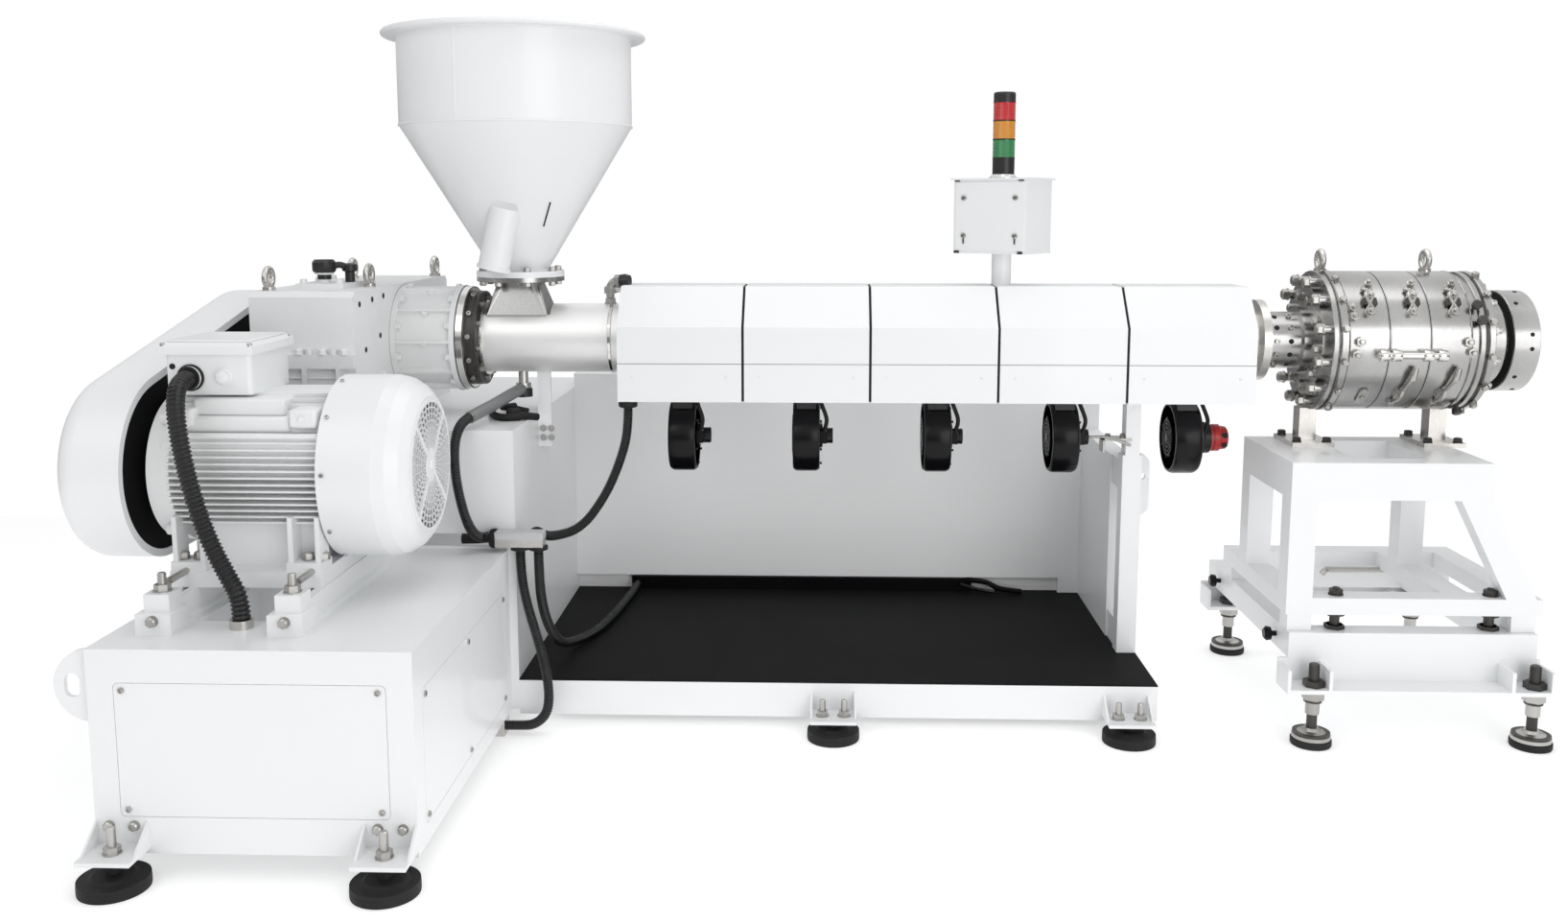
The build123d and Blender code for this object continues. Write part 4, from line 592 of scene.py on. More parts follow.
# painted shade: dark rings sunk in the narrow gaps between the heater bands
piece("die_band_gap_shade", [tube(1.5478 + 0.12 * k, 1.5532 + 0.12 * k, 0.2125, 0.206, soft=0.0005)
    for k in range(2)], painted_hole_shade)
flange_rings = [tube(1.386, 1.402, 0.2165, 0.15),
    tube(1.409, 1.431, 0.2185, 0.15),
    tube(1.816, 1.832, 0.2135, 0.15),
    tube(1.842, outer_face, 0.215, 0.15)]
piece("die_flange_rings", flange_rings, die_steel)
piece("die_flange_groove", [tube(1.402, 1.409, 0.2135, 0.2), tube(1.832, 1.842, 0.211, 0.2)], dark_steel)
piece("die_inner_band", [tube(1.8765, 1.9295, 0.1365, 0.1),
    tube(1.86, 1.868, 0.16, 0.1),
    tube(1.9305, 1.942, 0.126, 0.1)], die_steel)
piece("nose_ring_skin", [tube(1.9435, 2.0215, 0.1552, 0.15), tube(1.9425, 1.947, 0.156, 0.1425)], die_steel)
piece("nose_ring_shadow", [tube(1.941, 1.9432, 0.1512, 0.1, soft=0.0005)], painted_hole_shade)

# %% Die bolts
studs = [copies(stud_nut(0.0095, 0.034), ring(outer_face, 0.176, 12, 15), to_die),
    copies(hex_bolt(0.03, 0.022), ring(1.389, 0.189, 12, 15) - (0.026, 0, 0), to_drive),
    copies(hex_bolt(0.024, 0.018), ring(1.369, 0.138, 10, 6), to_drive),
    copies(socket_bolt(0.009, 0.01), ring(inner_face, 0.148, 8, 10), to_die),
    copies(stud_nut(0.007, 0.05), ring(inner_face, 0.118, 8, 30), to_die)]
piece("die_bolts", studs, bolt_steel)
rim_bolts, rim_axes = [], []
for flange_x, flange_turns in ((1.42, (62, 38, 14, -12, -38, -62)), (1.851, (70, 44, 20, -8, -34, -58, -80))):
    for turn in flange_turns:
        place, out = on_drum(flange_x, turn, 0.2175 if flange_x < 1.5 else 0.214)
        rim_bolts.append(place)
        rim_axes.append(out)
piece("die_rim_bolts", [copies(hex_bolt(0.019, 0.015), rim_bolts, rim_axes)], bolt_steel)
neck_spots = [(x, turn) for x in (1.262, 1.304) for turn in (58, 30, 2, -26, -54)]
bolted = [(x > 1.28) == (turn > 10) for x, turn in neck_spots]
neck_bolts, neck_bolt_axes = drum_spots([spot for spot, bolt in zip(neck_spots, bolted) if bolt], 0.0875)
neck_holes, neck_axes = drum_spots([spot for spot, bolt in zip(neck_spots, bolted) if not bolt], 0.0875)
piece("neck_bolts", [copies(socket_bolt(0.0085, 0.008), neck_bolts, neck_bolt_axes)], bolt_steel)
nose_spots = ((1.968, 52), (1.996, 12), (1.996, -4), (1.968, -40), (1.996, 80), (1.996, -70), (1.968, 100))
nose_holes, nose_axes = drum_spots(nose_spots, 0.1549)
# painted shade: flat dark discs on the drilled holes of the nose ring and the neck, for the shade inside them
piece("drilled_hole_shade", [copies(rod(0.0065, 0.0012, 16), nose_holes, nose_axes),
    copies(rod(0.008, 0.0012, 16), neck_holes, neck_axes)], painted_hole_shade)

# %% Toggle clamps, hinge bar and levers
band_r = 0.214
clamps, dark_clamps = [], []
for band_x in (1.497, 1.622, 1.742):
    for turn, shift in ((52, 0.006), (40, 0.0), (27, -0.006)):
        place, out = on_drum(band_x + shift, turn, band_r)
        clamps.append(lathe([(0, 0.015), (0.01, 0.015), (0.014, 0.011)], 16, place, out))
        clamps.append(copies(stud_nut(0.006, 0.02), [place + out * 0.012], out))
    upper = on_drum(band_x + 0.014, 49, 0.222)[0]
    middle = on_drum(band_x - 0.012, 40, 0.234)[0]
    lower = on_drum(band_x + 0.008, 29, 0.222)[0]
    clamps.append(thin_wire([upper, middle, lower], 0.006))
    clamps.append(thin_wire([upper - (0.026, 0, 0), middle + (0.02, 0, 0.004), lower - (0.02, 0, 0)], 0.005))
    place, out = on_drum(band_x, 36, band_r)
    dark_clamps.append(copies(block((-0.012, -0.02, 0), (0.012, 0.02, 0.016)), place, out, up=(1, 0, 0)))
piece("toggle_clamps", clamps, bolt_steel)
piece("toggle_bases", dark_clamps, dark_steel, bevel=0.002)
hinge_place, hinge_out = on_drum(1.512, -6, 0.231)
knuckle = turned([(0, 0.016), (0.002, 0.0172), (0.026, 0.0172), (0.028, 0.016)], 24)
hinge = [copies(rod(0.01, 0.203, 20), hinge_place, to_die)]
hinge += [copies(knuckle, [hinge_place + (dx, 0, 0) for dx in (0.002, 0.038, 0.13, 0.172)], to_die)]
for dx in (0.015, 0.052, 0.144, 0.186):
    hinge.append(copies(block((-0.01, -0.012, -0.02), (0.01, 0.012, 0.004)), [hinge_place + (dx, 0, 0)],
        hinge_out, up=(1, 0, 0)))
piece("hinge_bar", hinge, polished_steel, bevel=0.001)
levers = []
for lever_x in (1.622, 1.748):
    top = on_drum(lever_x + 0.006, -16, 0.228)[0]
    middle = on_drum(lever_x, -24, 0.236)[0]
    end = on_drum(lever_x - 0.012, -36, 0.226)[0]
    levers.append(carried([top, (top + middle) / 2, middle, (middle + end) / 2, end],
        [0.009, 0.0105, 0.011, 0.008, 0.007], 14))
    foot, foot_out = on_drum(lever_x - 0.018, -43, band_r)
    levers.append(copies(stud_nut(0.008, 0.02), foot, foot_out))
    levers.append(thin_wire([end, foot + foot_out * 0.02, on_drum(lever_x - 0.024, -52, 0.222)[0]], 0.006))
    tip, tip_out = on_drum(lever_x - 0.026, -54, band_r)
    levers.append(copies(hex_bolt(0.018, 0.014), tip, tip_out))
lug_place, lug_out = on_drum(1.5, -46, band_r)
slot_outline = np.vstack([arc(0.014, -90, 90, 9, (0.02, 0)), arc(0.014, 90, 270, 9, (-0.02, 0))])
levers.append(copies(plate(slot_outline, 0.007), lug_place, lug_out, up=(1, 0, 0)))
levers.append(copies(hex_bolt(0.012, 0.006), [lug_place + lug_out * 0.007], lug_out))
for bolt_x, turn in ((1.452, -6), (1.462, 4), (1.778, 4), (1.79, -4), (1.446, 24), (1.446, 31)):
    place, out = on_drum(bolt_x, turn, band_r)
    levers.append(copies(stud_nut(0.0075, 0.022), place, out))
piece("band_levers", levers, bolt_steel)
knobs = []
for knob_x, turn in ((1.803, 32), (1.812, 20), (1.806, -62)):
    place, out = on_drum(knob_x, turn, band_r)
    knobs.append(lathe([(0, 0.007), (0.012, 0.007), (0.012, 0.013), (0.026, 0.015), (0.03, 0.011)], 16, place,
        out))
piece("knob_bolts", knobs, dark_steel)

# %% [markdown]
# ## Motor and drive base
# The motor's fins, feet and box are packed already. What remains is what is bolted on: cowl screws,
# the gland with painted shade in its throat, the lifting eye pads, and the bolts of the feet and rails.

# %% Motor fittings
motor_y, motor_z = -0.542, 0.895
box_left, box_right, box_front = -1.78, -1.563, -0.662
gland_place = (-1.716, box_front, 1.137)
gland_ring = turned([(0, 0.034), (0.006, 0.034), (0.01, 0.029), (0.019, 0.029), (0.019, 0.023), (0.0, 0.023)],
    28, closed=True)
piece("motor_gland", [copies(gland_ring, gland_place, to_front)], black_rubber)
# painted shade: a dark disc in the gland's throat, and one in the spare hole of the box
piece("gland_throat_shade", [copies(rod(0.03, 0.0165, 28), gland_place, to_front)], painted_hole_shade)
piece("spare_hole_shade", [copies(rod(0.0075, 0.0015, 16), (-1.762, box_front, 1.165), to_front)], painted_hole_shade)
plug = turned([(0, 0.021), (0.005, 0.021), (0.007, 0.016), (0.012, 0.016, 1), (0.02, 0.014, 1),
    (0.022, 0.01)], 24)
piece("box_plug", [copies(plug, (-1.63, box_front, 1.14), to_front)], white_paint)
piece("box_lid_crown", [copies(block((-0.104, -0.118, 0), (0.104, 0.118, 0.006)),
    [((box_left + box_right) / 2, -0.54, 1.225)])], white_paint, bevel=0.004)
lid_screws = [(x, y, 1.215) for x in (box_left - 0.002, box_right + 0.002)
    for y in (box_front - 0.004, -0.426)]
piece("box_lid_screws", [copies(socket_bolt(0.006, 0.01), lid_screws)], bolt_steel)
pad_xs, pad_front = (-1.722, -1.412), motor_y - 0.19
pads = [block((x - 0.034, pad_front, motor_z + 0.125), (x + 0.034, motor_y - 0.12, motor_z + 0.172))
    for x in pad_xs]
piece("motor_eye_pads", pads, cast_white_paint, bevel=0.008)
step_panel = [block((-1.748, motor_y - 0.196, motor_z + 0.098), (-1.372, motor_y - 0.09, motor_z + 0.112)),
    block((-1.748, motor_y - 0.176, motor_z + 0.112), (-1.45, motor_y - 0.08, motor_z + 0.15)),
    block((-1.7, motor_y - 0.15, motor_z + 0.15), (-1.47, motor_y - 0.07, motor_z + 0.192))]
piece("motor_stepped_top", step_panel, cast_white_paint, bevel=0.006)
piece("motor_small_bolts", [copies(hex_bolt(0.014, 0.009), [(x, pad_front, motor_z + 0.148) for x in pad_xs],
        to_front),
    copies(hex_bolt(0.017, 0.012), ring(-1.771, 0.182, 8, 22, motor_y, motor_z), to_drive)], cast_white_paint)
cowl_screws, cowl_axes = drum_spots([(-1.352, turn) for turn in (40, 4, -34, -66, 74)], 0.2362, motor_y,
    motor_z)
piece("cowl_screws", [copies(socket_bolt(0.0055, 0.005), cowl_screws, cowl_axes)], bolt_steel)
hub = turned([(0, 0.045), (0.004, 0.045), (0.006, 0.04), (0.006, 0.014), (0.01, 0.01)], 32)
fan_face, fan_back = (-1.154, motor_y, motor_z), (-1.155, motor_y, motor_z)
rim = turned([(0, 0.172), (0.006, 0.172), (0.006, 0.164), (0, 0.164)], 64, closed=True)
fan_parts = [copies(hub, fan_back, to_die)]
fan_parts += spokes((-0.006, 0.03, 0), (0.006, 0.172, 0.005), (-1.153, motor_y, motor_z), 4, start=45)
fan_parts += [copies(rim, fan_back, to_die)]
fan_parts += flat_rings((0.062, 0.08, 0.098, 0.116, 0.134, 0.15), 0.0018, 0.004, 64, fan_face)
fan_parts += spokes((-0.0016, 0.04, 0), (0.0016, 0.166, 0.004), fan_face, 36)
fan_guard = piece("fan_guard", fan_parts, white_paint)
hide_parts("motor_fan_grille")
piece("fan_shadow", [copies(rod(0.167, 0.002, 64), (-1.182, motor_y, motor_z), to_die)], painted_fan_shade)

# %% Drive base fittings
base_front, base_right = -1.032, -1.064
front_screws = [(x, base_front + 0.0005, z) for x in (-1.744, -1.146) for z in (0.168, 0.456)]
side_screws = [(base_right - 0.0005, y, z) for y in (-0.945, -0.179) for z in (0.126, 0.424)]
piece("panel_screws", [copies(socket_bolt(0.0075, 0.005), front_screws, to_front),
    copies(socket_bolt(0.0075, 0.005), side_screws, to_die),
    copies(socket_bolt(0.0075, 0.005), [(base_right, -0.562, z) for z in (0.126, 0.424)], to_die)],
        bolt_steel)
rail_middle, rail_front = -1.553, -0.912
nuts = []
for side in (-1, 1):
    rail_x = rail_middle + side * 0.158
    nuts.append(copies(stud_nut(0.01, 0.044), (rail_x, rail_front + 0.034, 0.648)))
    nuts.append(copies(hex_bolt(0.022, 0.016), (rail_x, rail_front - 0.022, 0.59), to_front))
    nuts.append(copies(rod(0.009, 0.12, 14), (rail_x, rail_front + 0.066, 0.664), (0, 1, 0)))
    nuts.append(copies(hex_bolt(0.024, 0.018),
        [(rail_x + dx, y, 0.6875) for dx in (-0.02, 0.02) for y in (-0.722, -0.362)]))
foot_x_all = (-1.762, -1.128)
nuts.append(copies(stud_nut(0.01, 0.062), [(x, base_front - 0.05, 0.084) for x in foot_x_all]))
nuts.append(copies(hex_bolt(0.02, 0.013),
    [(x + dx, base_front, 0.128) for x in foot_x_all for dx in (-0.03, 0.03)], to_front))
nuts.append(copies(stud_nut(0.009, 0.048),
    [(x + dx, -0.142, 0.068) for x in (-0.095, 0.776) for dx in (-0.032, 0.032)]))
piece("foot_and_rail_bolts", nuts, bolt_steel)
feet = []
for x, y, r in [(-1.762, -1.082, 0.08), (-1.128, -1.082, 0.08), (-0.095, -0.142, 0.077),
        (0.776, -0.142, 0.077)]:
    feet.append(lathe([(0.0, r - 0.004), (0.004, r + 0.0005), (0.018, r + 0.0005), (0.024, r - 0.008),
        (0.0295, r - 0.026), (0.036, r - 0.034), (0.036, 0.016)], 48, (x, y, 0.0)))
piece("rubber_feet", feet, black_rubber)

# %% [markdown]
# ## Gearbox and feed
# Flange bolts in rows, a black breather, tapped holes, cast ribs on the gearbox's front and the bolts
# of the thrust housing. The feed section is bright steel between a dark clamp ring and the first cover.

# %% Gearbox bolts and breather
gear_bolts = [(x, -0.21, 1.146) for x in (-1.7, -1.62, -1.552, -1.49)]
piece("gearbox_bolts", [copies(hex_bolt(0.022, 0.016), gear_bolts),
    copies(hex_bolt(0.02, 0.014), [(-1.461, y, z) for y in (0.02, 0.52) for z in (0.98, 1.06)], to_die),
    copies(hex_bolt(0.018, 0.013), [(x, y, 1.34) for x in (-1.655, -1.548) for y in (-0.06, 0.06, 0.18)])],
        cast_white_paint)
# painted shade: dark discs on the tapped holes of the gearbox face
piece("gearbox_hole_shade", [copies(rod(0.0085, 0.001, 16),
    [(-1.4605, y, z) for y, z in ((-0.15, 1.285), (-0.04, 1.292), (0.06, 1.296), (0.02, 1.18),
    (-0.11, 1.15))], to_die)], painted_hole_shade)
breather = [lathe([(0, 0.02), (0.02, 0.02), (0.02, 0.03), (0.026, 0.034), (0.05, 0.034), (0.058, 0.028)], 24,
        (-1.611, -0.01, 1.35)),
    lathe([(0, 0.014), (0.03, 0.014), (0.034, 0.022), (0.052, 0.022), (0.056, 0.016)], 20,
        (-1.545, 0.02, 1.34)),
    thin_wire([(-1.6, -0.01, 1.38), (-1.57, 0.0, 1.392), (-1.545, 0.02, 1.38)], 0.01)]
piece("breather_caps", breather, black_plastic)
side_ribs = [block((-1.752, -0.206, z), (-1.47, -0.199, z + 0.006)) for z in (0.955, 1.02, 1.075)]
piece("gearbox_cast_lines", side_ribs, cast_white_paint, bevel=0.002)
case_bolts, case_axes = drum_spots([(-1.36, turn) for turn in (70, 34, -2, -38)], 0.15)
thrust = [copies(hex_bolt(0.022, 0.015), ring(-1.445, 0.158, 10, 18), to_die),
    copies(hex_bolt(0.02, 0.015), ring(-1.279, 0.158, 10, 18), to_drive),
    copies(hex_bolt(0.018, 0.012), case_bolts, case_axes)]
piece("thrust_bolts", thrust, cast_white_paint)
# painted shade: a thin dark ring in the joint between the gearbox and the thrust housing
piece("thrust_joint_shade", [tube(-1.4625, -1.4605, 0.1668, 0.12, soft=0.0003)], painted_hole_shade)

# %% Feed section
piece("ring_bright", [tube(-1.2632, -1.2358, 0.1628, 0.14, soft=0.004)], polished_steel)
piece("clamp_dark", [tube(-1.2352, -1.2108, 0.149, 0.108, soft=0.004),
    tube(-1.2106, -1.2015, 0.1445, 0.108)], dark_steel)
clamp_bolts, clamp_axes = drum_spots([(-1.223, turn) for turn in (64, 34, 6, -22, -50)], 0.148)
piece("clamp_bolts", [copies(socket_bolt(0.008, 0.01), clamp_bolts, clamp_axes),
    copies(hex_bolt(0.018, 0.012), ring(-1.2015, 0.127, 10, 10), to_die)], bolt_steel)
feed_skin = [tube(-1.2014, -1.19, 0.1195, 0.107), tube(-0.8, -0.788, 0.112, 0.107)]
piece("feed_rings", feed_skin, polished_steel)
flange_places = ring_up(hopper_x, barrel_y, 1.364, 0.118, 8, 22)
piece("throat_bolts", [copies(hex_bolt(0.02, 0.014), flange_places),
    copies(hex_bolt(0.02, 0.014), flange_places - (0, 0, 0.032), to_floor)], bolt_steel)
elbow_x = -0.803
elbow = [copies(hex_bolt(0.03, 0.02), (elbow_x, barrel_y, 1.259)),
    thin_wire([(elbow_x, barrel_y, 1.27), (elbow_x, barrel_y, 1.31), (-0.79, 0.262, 1.328),
        (-0.762, 0.255, 1.332)], 0.013, 14),
    lathe([(0, 0.018, 1), (0.02, 0.018, 1), (0.024, 0.014)], 12, (elbow_x, barrel_y, 1.292)),
    lathe([(0, 0.017, 1), (0.018, 0.017, 1)], 12, (-0.785, 0.26, 1.331), (1, -0.3, 0.1))]
piece("coolant_elbow", elbow, bolt_steel)
piece("coolant_elbow_black", [lathe([(0, 0.021), (0.016, 0.023), (0.03, 0.019)], 20, (-0.768, 0.256, 1.331),
        (1, -0.25, 0.02)),
    lathe([(0, 0.028), (0.024, 0.028), (0.034, 0.02)], 20, (hopper_x, barrel_y, 0.962))], black_plastic)
piece("feed_pipe_cover", [carried([(-1.0885, 0.262, 0.99), (-1.11, 0.18, 0.9785), (-1.14, 0.066, 0.9605),
    (-1.1745, -0.064, 0.9445)], 0.0185, 16)], grey_hose)

# %% [markdown]
# ## Hopper and covers
# The hopper is rolled sheet: a welded shoulder, a folded rim and a drain chute. The barrel covers
# are folded boxes with a fine seam along the middle and painted shade in the gaps between them.

# %% Hopper seams and chute
bead = [carried(ring_up(hopper_x, barrel_y, 1.8105, 0.3565, 96), 0.0028, 8, loop=True),
    carried(ring_up(hopper_x, barrel_y, 1.3655, 0.087, 64), 0.0035, 8, loop=True),
    carried(ring_up(hopper_x, barrel_y, 2.0755, 0.357, 96), 0.003, 8, loop=True),
    carried([(hopper_x - 0.1, barrel_y - 0.3415, z) for z in (1.812, 1.95, 2.074)], 0.0022, 8)]
piece("hopper_welds", bead, white_paint)
rim_edge = carried(ring_up(hopper_x, barrel_y, 2.083, 0.3945, 120), 0.0068, 10, loop=True)
piece("hopper_rim_roll", [rim_edge], white_paint)
tilt = np.radians(13.0)
chute_down = np.array([-np.sin(tilt), 0.0, -np.cos(tilt)])
chute_foot = np.array([hopper_x, 0.088, 1.558])
chute_band = turned([(0, 0.047), (0, 0.0505), (0.01, 0.0505), (0.01, 0.047)], 40, closed=True)
piece("chute_band", [copies(chute_band, [chute_foot + chute_down * 0.179], chute_down)], white_paint)
piece("chute_shade", [copies(rod(0.0432, 0.001, 40), [chute_foot + chute_down * 0.15], chute_down)],
    painted_hole_shade)
# painted shade: a thin dark line in a narrow gap on the hopper's side
sight_gap = carried([(-0.9531, 0.0983, 1.5762), (-0.982, 0.131, 1.504)], 0.0022, 8)
piece("hopper_gap_shade", [sight_gap], painted_hole_shade)

# %% Cover seams and gaps
cover_start, pitch, cover_count = -0.759, 0.386, 5
seams, gaps = [], []
for k in range(cover_count):
    x0, x1 = cover_start + k * pitch + 0.004, cover_start + (k + 1) * pitch - 0.004
    seams.append(block((x0, 0.0671, 1.09), (x1, 0.0676, 1.0918)))
    if k:
        # painted shade: dark sheets fill each gap between two covers, a box below and a trapezoid in the
        # chamfered top
        gaps.append(block((x0 - 0.0075, 0.07, 0.977), (x0 - 0.0005, 0.465, 1.2)))
        gaps.append(copies(plate([(-0.197, 0.0), (0.197, 0.0), (0.09, 0.117), (-0.09, 0.117)], 0.007),
            (x0 - 0.0075, barrel_y, 1.2), to_die))
piece("cover_seams", seams, seam_grey)
piece("cover_gap_shade", gaps, painted_hole_shade)
lips = [block((cover_start + k * pitch + 0.01, 0.176, 1.3198),
    (cover_start + (k + 1) * pitch - 0.01, 0.186, 1.3226)) for k in range(cover_count)]
piece("cover_top_lips", lips, white_paint, bevel=0.001)
piece("cover_catches", [copies(socket_bolt(0.004, 0.003),
    [(cover_start + k * pitch + d, 0.0675, 1.05) for k in range(cover_count) for d in (0.05, 0.336)],
    to_front)], white_paint)

# %% [markdown]
# ## Blowers
# Each blower is a pressed drum: a grille on its inlet side, a rolled rim, a small motor with a
# ribbed hub, and a cable that loops up into the cover.

# %% Blower drums and cables
blower_z = 0.84
shifts = (-0.006, -0.002, 0.023, 0.033, 0.025)
drums, hubs, leads = [], [], []
for k in range(cover_count):
    x = cover_start + (k + 0.5) * pitch + shifts[k]
    left, right = x - 0.042, x + 0.042
    grille_place = (left - 0.003, barrel_y, blower_z)
    profile = [(0, 0.064), (0, 0.1), (0.004, 0.1095), (0.012, 0.1128), (0.072, 0.1128), (0.08, 0.1095),
        (0.084, 0.1), (0.084, 0.04), (0.086, 0.04), (0.086, 0.03)]
    drums.append(lathe(profile, 72, (left, barrel_y, blower_z), to_die))
    drums += flat_rings((0.02, 0.032, 0.044, 0.056), 0.002, 0.003, 40, grille_place)
    drums += spokes((-0.002, 0.012, 0), (0.002, 0.066, 0.003), grille_place, 6)
    drums.append(copies(rod(0.014, 0.006, 20), (left - 0.004, barrel_y, blower_z), to_die))
    body_r, body_l = (0.048, 0.042) if k == 4 else (0.024, 0.042)
    ribbed = [(0.0, body_r + 0.014), (0.009, body_r + 0.014)]
    for s in range(5):
        ribbed += [(0.01 + s * 0.0064, body_r + 0.001), (0.0132 + s * 0.0064, body_r + 0.001),
            (0.0132 + s * 0.0064, body_r - 0.001), (0.0164 + s * 0.0064, body_r - 0.001)]
    hubs.append(lathe(ribbed + [(body_l, body_r * 0.9)], 36, (right, barrel_y, blower_z), to_die))
    hubs.append(copies(socket_bolt(0.004, 0.006), ring(right + 0.001, 0.088, 6, 20, barrel_y, blower_z),
        to_die))
    hubs.append(block((right - 0.002, barrel_y - 0.06, blower_z - 0.016),
        (right + 0.022, barrel_y - 0.03, blower_z + 0.022)))
    leads.append(thin_wire([(right + 0.012, barrel_y - 0.052, blower_z + 0.016),
        (right + 0.022, barrel_y - 0.064, blower_z + 0.06),
        (right + 0.008, barrel_y - 0.06, blower_z + 0.104), (right - 0.004, barrel_y - 0.05, 0.976)], 0.0065))
piece("blower_drums", drums, gloss_black)
piece("blower_hubs", hubs, gloss_black)
piece("blower_cables", leads, black_rubber)
red_x = cover_start + 4.5 * pitch + shifts[4] + 0.084
cap = [(0, 0.0425), (0.006, 0.0425), (0.006, 0.04), (0.012, 0.04), (0.012, 0.0425), (0.03, 0.0425),
    (0.034, 0.038), (0.052, 0.0355), (0.0565, 0.03)]
red_cap = piece("red_motor_cap", [lathe(cap, 40, (red_x, barrel_y, blower_z), to_die)], red_plastic)
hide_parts("blower_red_cap")
cap_screws, cap_axes = drum_spots([(red_x + 0.044, turn) for turn in (20, -30)], 0.0365, barrel_y, blower_z)
piece("red_cap_screws", [copies(rod(0.009, 0.003, 20), cap_screws, cap_axes)], black_rubber)

# %% [markdown]
# ## Signal column
# The junction box is turned towards the operator. Its door has a clip in each corner and four
# locks, and the light above is a stack of ribbed lenses with black rings between them.

# %% Box fittings and lens rings
post_x, post_y, box_z, box_h = 0.43, 0.3, 1.419, 0.232
turn = np.radians(-34.0)
side_way = np.array([np.cos(turn), np.sin(turn), 0.0])
front_way = np.array([np.sin(turn), -np.cos(turn), 0.0])
centre = np.array([post_x, post_y, box_z])


def on_box(across, up, out=0.0875):
    """A point on the box's door: across from its middle, up from its underside."""
    return centre + side_way * across + front_way * out + (0.0, 0.0, up)


piece("box_door", [copies(block((-0.118, -0.106, 0), (0.118, 0.106, 0.0025)), [on_box(0, 0.114)], front_way)],
    white_paint, bevel=0.001)
locks = [on_box(dx, dz, 0.09) for dx in (-0.088, 0.088) for dz in (0.056, 0.172)]
piece("box_locks", [lathe([(0, 0.009), (0.003, 0.009), (0.004, 0.006)], 20, locks, front_way)], bolt_steel)
piece("box_lock_marks", [copies(block((-0.0065, -0.0015, 0.004), (0.0065, 0.0015, 0.0048)), locks, front_way,
        spin=40),
    copies(block((-0.0018, -0.026, 0), (0.0018, -0.008, 0.003)), locks[::2], front_way)], dark_steel)
clips = [on_box(dx, dz, 0.0885) for dx in (-0.112, 0.106) for dz in (0.004, 0.226)]
piece("box_clips", [copies(block((-0.008, -0.004, 0), (0.008, 0.004, 0.004)), clips, front_way)], dark_steel)
light_z = box_z + box_h
light_place = (post_x, post_y, light_z)
lens_ribs = [copies(rod(0.0346, 0.0035, 48), (post_x, post_y, light_z + z))
    for z in (0.06, 0.1175, 0.1745, 0.2315)]
lens_ribs += [copies(turned([(0, 0.035), (0.006, 0.035), (0.01, 0.0343), (0.01, 0.0335), (0, 0.0335)], 48,
    closed=True), light_place)]
piece("lens_rings", lens_ribs, black_plastic)
for lens, low, lens_finish in (("green", 0.063, lens_green), ("amber", 0.12, lens_amber),
        ("red", 0.177, lens_red)):
    rows = []
    for s in range(14):
        rows += [(low + 0.001 + s * 0.0039, 0.0338), (low + 0.003 + s * 0.0039, 0.0342)]
    made = piece(lens + "_lens", [lathe(rows + [(low + 0.0565, 0.0338)], 48, light_place)], lens_finish,
        smooth=20)
    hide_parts("signal_lens_" + lens)
piece("light_foot", [lathe([(0, 0.046), (0.003, 0.046), (0.004, 0.04), (0.012, 0.036)], 40, light_place)],
    polished_steel)

# %% [markdown]
# ## Bed, end frame and trolley
# The plainest part of the machine still shows how it is set up: levelling screws with lock nuts,
# dark bolts along the trolley, a latch on the end frame and painted shade in the slot under the
# cabinet.

# %% Bed and end frame
latch = [block((0.745, 0.205, 0.838), (0.835, 0.262, 0.846)),
    block((0.745, 0.205, 0.8), (0.752, 0.262, 0.846)),
    thin_wire([(0.7, 0.198, 0.852), (0.76, 0.196, 0.85), (0.83, 0.196, 0.826)], 0.0045)]
piece("frame_latch", latch, bolt_steel, bevel=0.001)
piece("frame_latch_bolts", [copies(hex_bolt(0.016, 0.011), [(0.765, 0.232, 0.846), (0.812, 0.232, 0.846)])],
    bolt_steel)
# painted shade: a glossy black block in the recessed slot under the cabinet stands for the shade there; two
# black leads run out of it
slot_shade = [block((-0.84, 0.886, 0.1545), (0.42, 0.905, 0.2)),
    thin_wire([(0.4, 0.89, 0.196), (0.47, 0.872, 0.192), (0.52, 0.86, 0.172), (0.6, 0.862, 0.16)], 0.01),
    thin_wire([(0.38, 0.88, 0.18), (0.44, 0.85, 0.172), (0.5, 0.846, 0.163)], 0.007)]
piece("cabinet_slot_shade", slot_shade, gloss_black)
piece("bracket_bolts", [copies(hex_bolt(0.016, 0.011),
    [(x, 0.2605, z) for x in (-0.999, -1.025) for z in (0.83, 0.86)], to_front)], bolt_steel)
cap_disc = rod(0.028, 0.01, 24)
piece("junction_caps", [lathe([(0, 0.029), (0.012, 0.029), (0.018, 0.025)], 24,
        hose_routes["feed_conduit"][-1], to_drive),
    copies(cap_disc, [hose_routes[name][0] for name in ("floor_conduit", "cabinet_conduit")], to_floor),
    copies(cap_disc, hose_routes["cover_conduit"][-1], (0, 1, 0)),
    lathe([(0, 0.029), (0.016, 0.029), (0.02, 0.024)], 24, (-0.727, 0.095, 0.974), to_floor),
    thin_wire([(-1.12, -0.094, 0.59), (-1.15, -0.092, 0.586), (-1.2, -0.09, 0.584)], 0.016)], black_rubber)
piece("junction_cover", [block((-1.094, -0.1405, 0.59), (-0.949, -0.0925, 0.6155))], grey_paint, bevel=0.004)
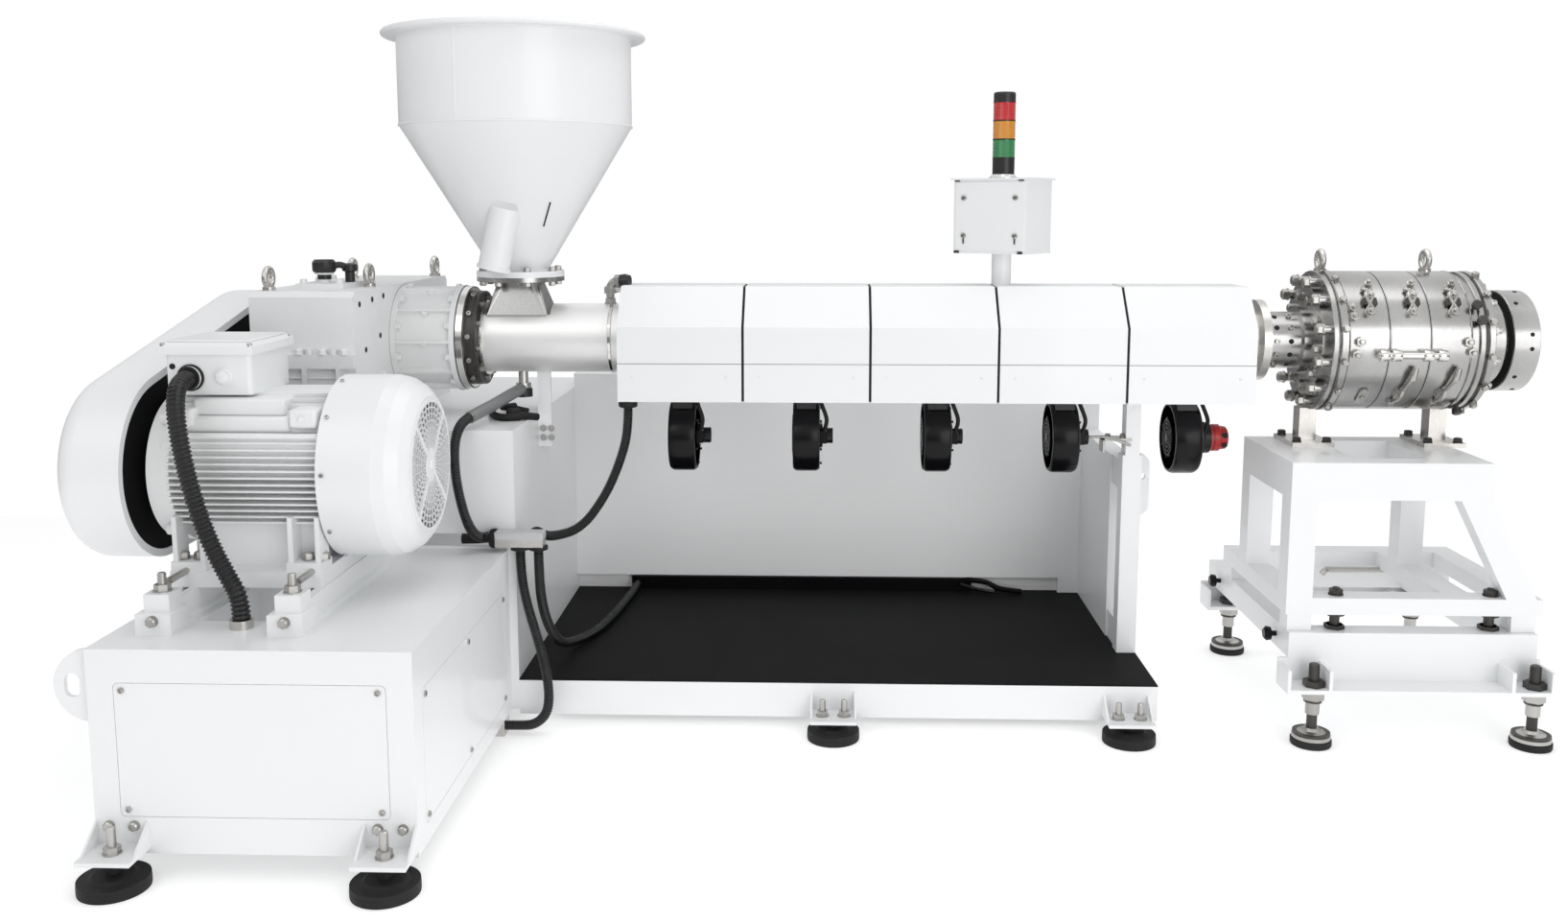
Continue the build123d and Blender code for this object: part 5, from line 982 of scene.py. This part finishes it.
loose = [thin_wire([(-1.02, 0.15, 0.914), (-1.06, 0.1, 0.925), (-1.11, 0.09, 0.92), (-1.15, 0.13, 0.922),
        (-1.18, 0.22, 0.92)], 0.012),
    thin_wire([(-1.06, 0.2, 0.924), (-1.1, 0.18, 0.936), (-1.15, 0.24, 0.93), (-1.13, 0.32, 0.924)], 0.01),
    lathe([(0, 0.022), (0.03, 0.022), (0.036, 0.016)], 20, (-1.085, 0.11, 0.9105))]
piece("pedestal_leads", loose, black_rubber)

# %% Trolley
screw_x, screw_y = (1.306, 1.941), (-0.142, 0.69)
screws, discs = [], []
for x in screw_x:
    for y in screw_y:
        discs.append(lathe([(0, 0.0545), (0.01, 0.0545), (0.018, 0.04), (0.022, 0.026), (0.03, 0.02),
            (0.03, 0.0155)], 40, (x, y, 0.022)))
        discs.append(lathe([(0, 0.02), (0.04, 0.02), (0.044, 0.0275, 1), (0.066, 0.0275, 1), (0.066, 0.036),
            (0.07, 0.036)], 24, (x, y, 0.094)))
        screws.append(lathe([(0, 0.027, 1), (0.018, 0.027, 1), (0.019, 0.0155), (0.064, 0.0155),
            (0.068, 0.012)], 12, (x, y, 0.1765)))
piece("levelling_screws", screws, dark_steel)
piece("levelling_discs", discs, bolt_steel)
spacers = [block((x - 0.0005, y, 0.3205), (x + 0.0705, y + 0.065, 0.3715)) for x in (1.246, 1.898)
    for y in (-0.0705, 0.4805)]
piece("trolley_spacers", spacers, white_paint)
piece("trolley_rubber_feet", [lathe([(0, 0.055), (0.004, 0.058), (0.018, 0.058), (0.0225, 0.0545)], 48,
    [(x, y, 0.0) for x in screw_x for y in screw_y])], black_rubber)
jacks = []
for x in (1.395, 1.847):
    jacks.append(lathe([(0, 0.026, 1), (0.012, 0.026, 1), (0.012, 0.0145), (0.04, 0.0145), (0.04, 0.024, 1),
        (0.052, 0.024, 1)], 12, (x, -0.04, 0.32)))
    jacks.append(copies(stud_nut(0.01, 0.022), (x, -0.04, 0.422)))
jacks.append(copies(hex_bolt(0.022, 0.015), [(lx + dx, barrel_y + dy, 0.84) for lx in (1.387, 1.788)
    for dx in (-0.046, 0.046) for dy in (-0.07, 0.07)]))
piece("trolley_bolts", jacks, dark_steel)
handle = [thin_wire([(1.53, 0.44, 0.352), (1.545, 0.44, 0.366), (1.57, 0.44, 0.368), (1.8, 0.44, 0.368),
    (1.825, 0.44, 0.366), (1.84, 0.44, 0.352)], 0.01)]
piece("trolley_handle", handle, bolt_steel)
piece("trolley_knobs", [lathe([(0, 0.008), (0.014, 0.008), (0.018, 0.02), (0.03, 0.022), (0.038, 0.014)], 24,
    [(1.246, y, 0.282) for y in (0.02, 0.6)], to_drive)], gloss_black)
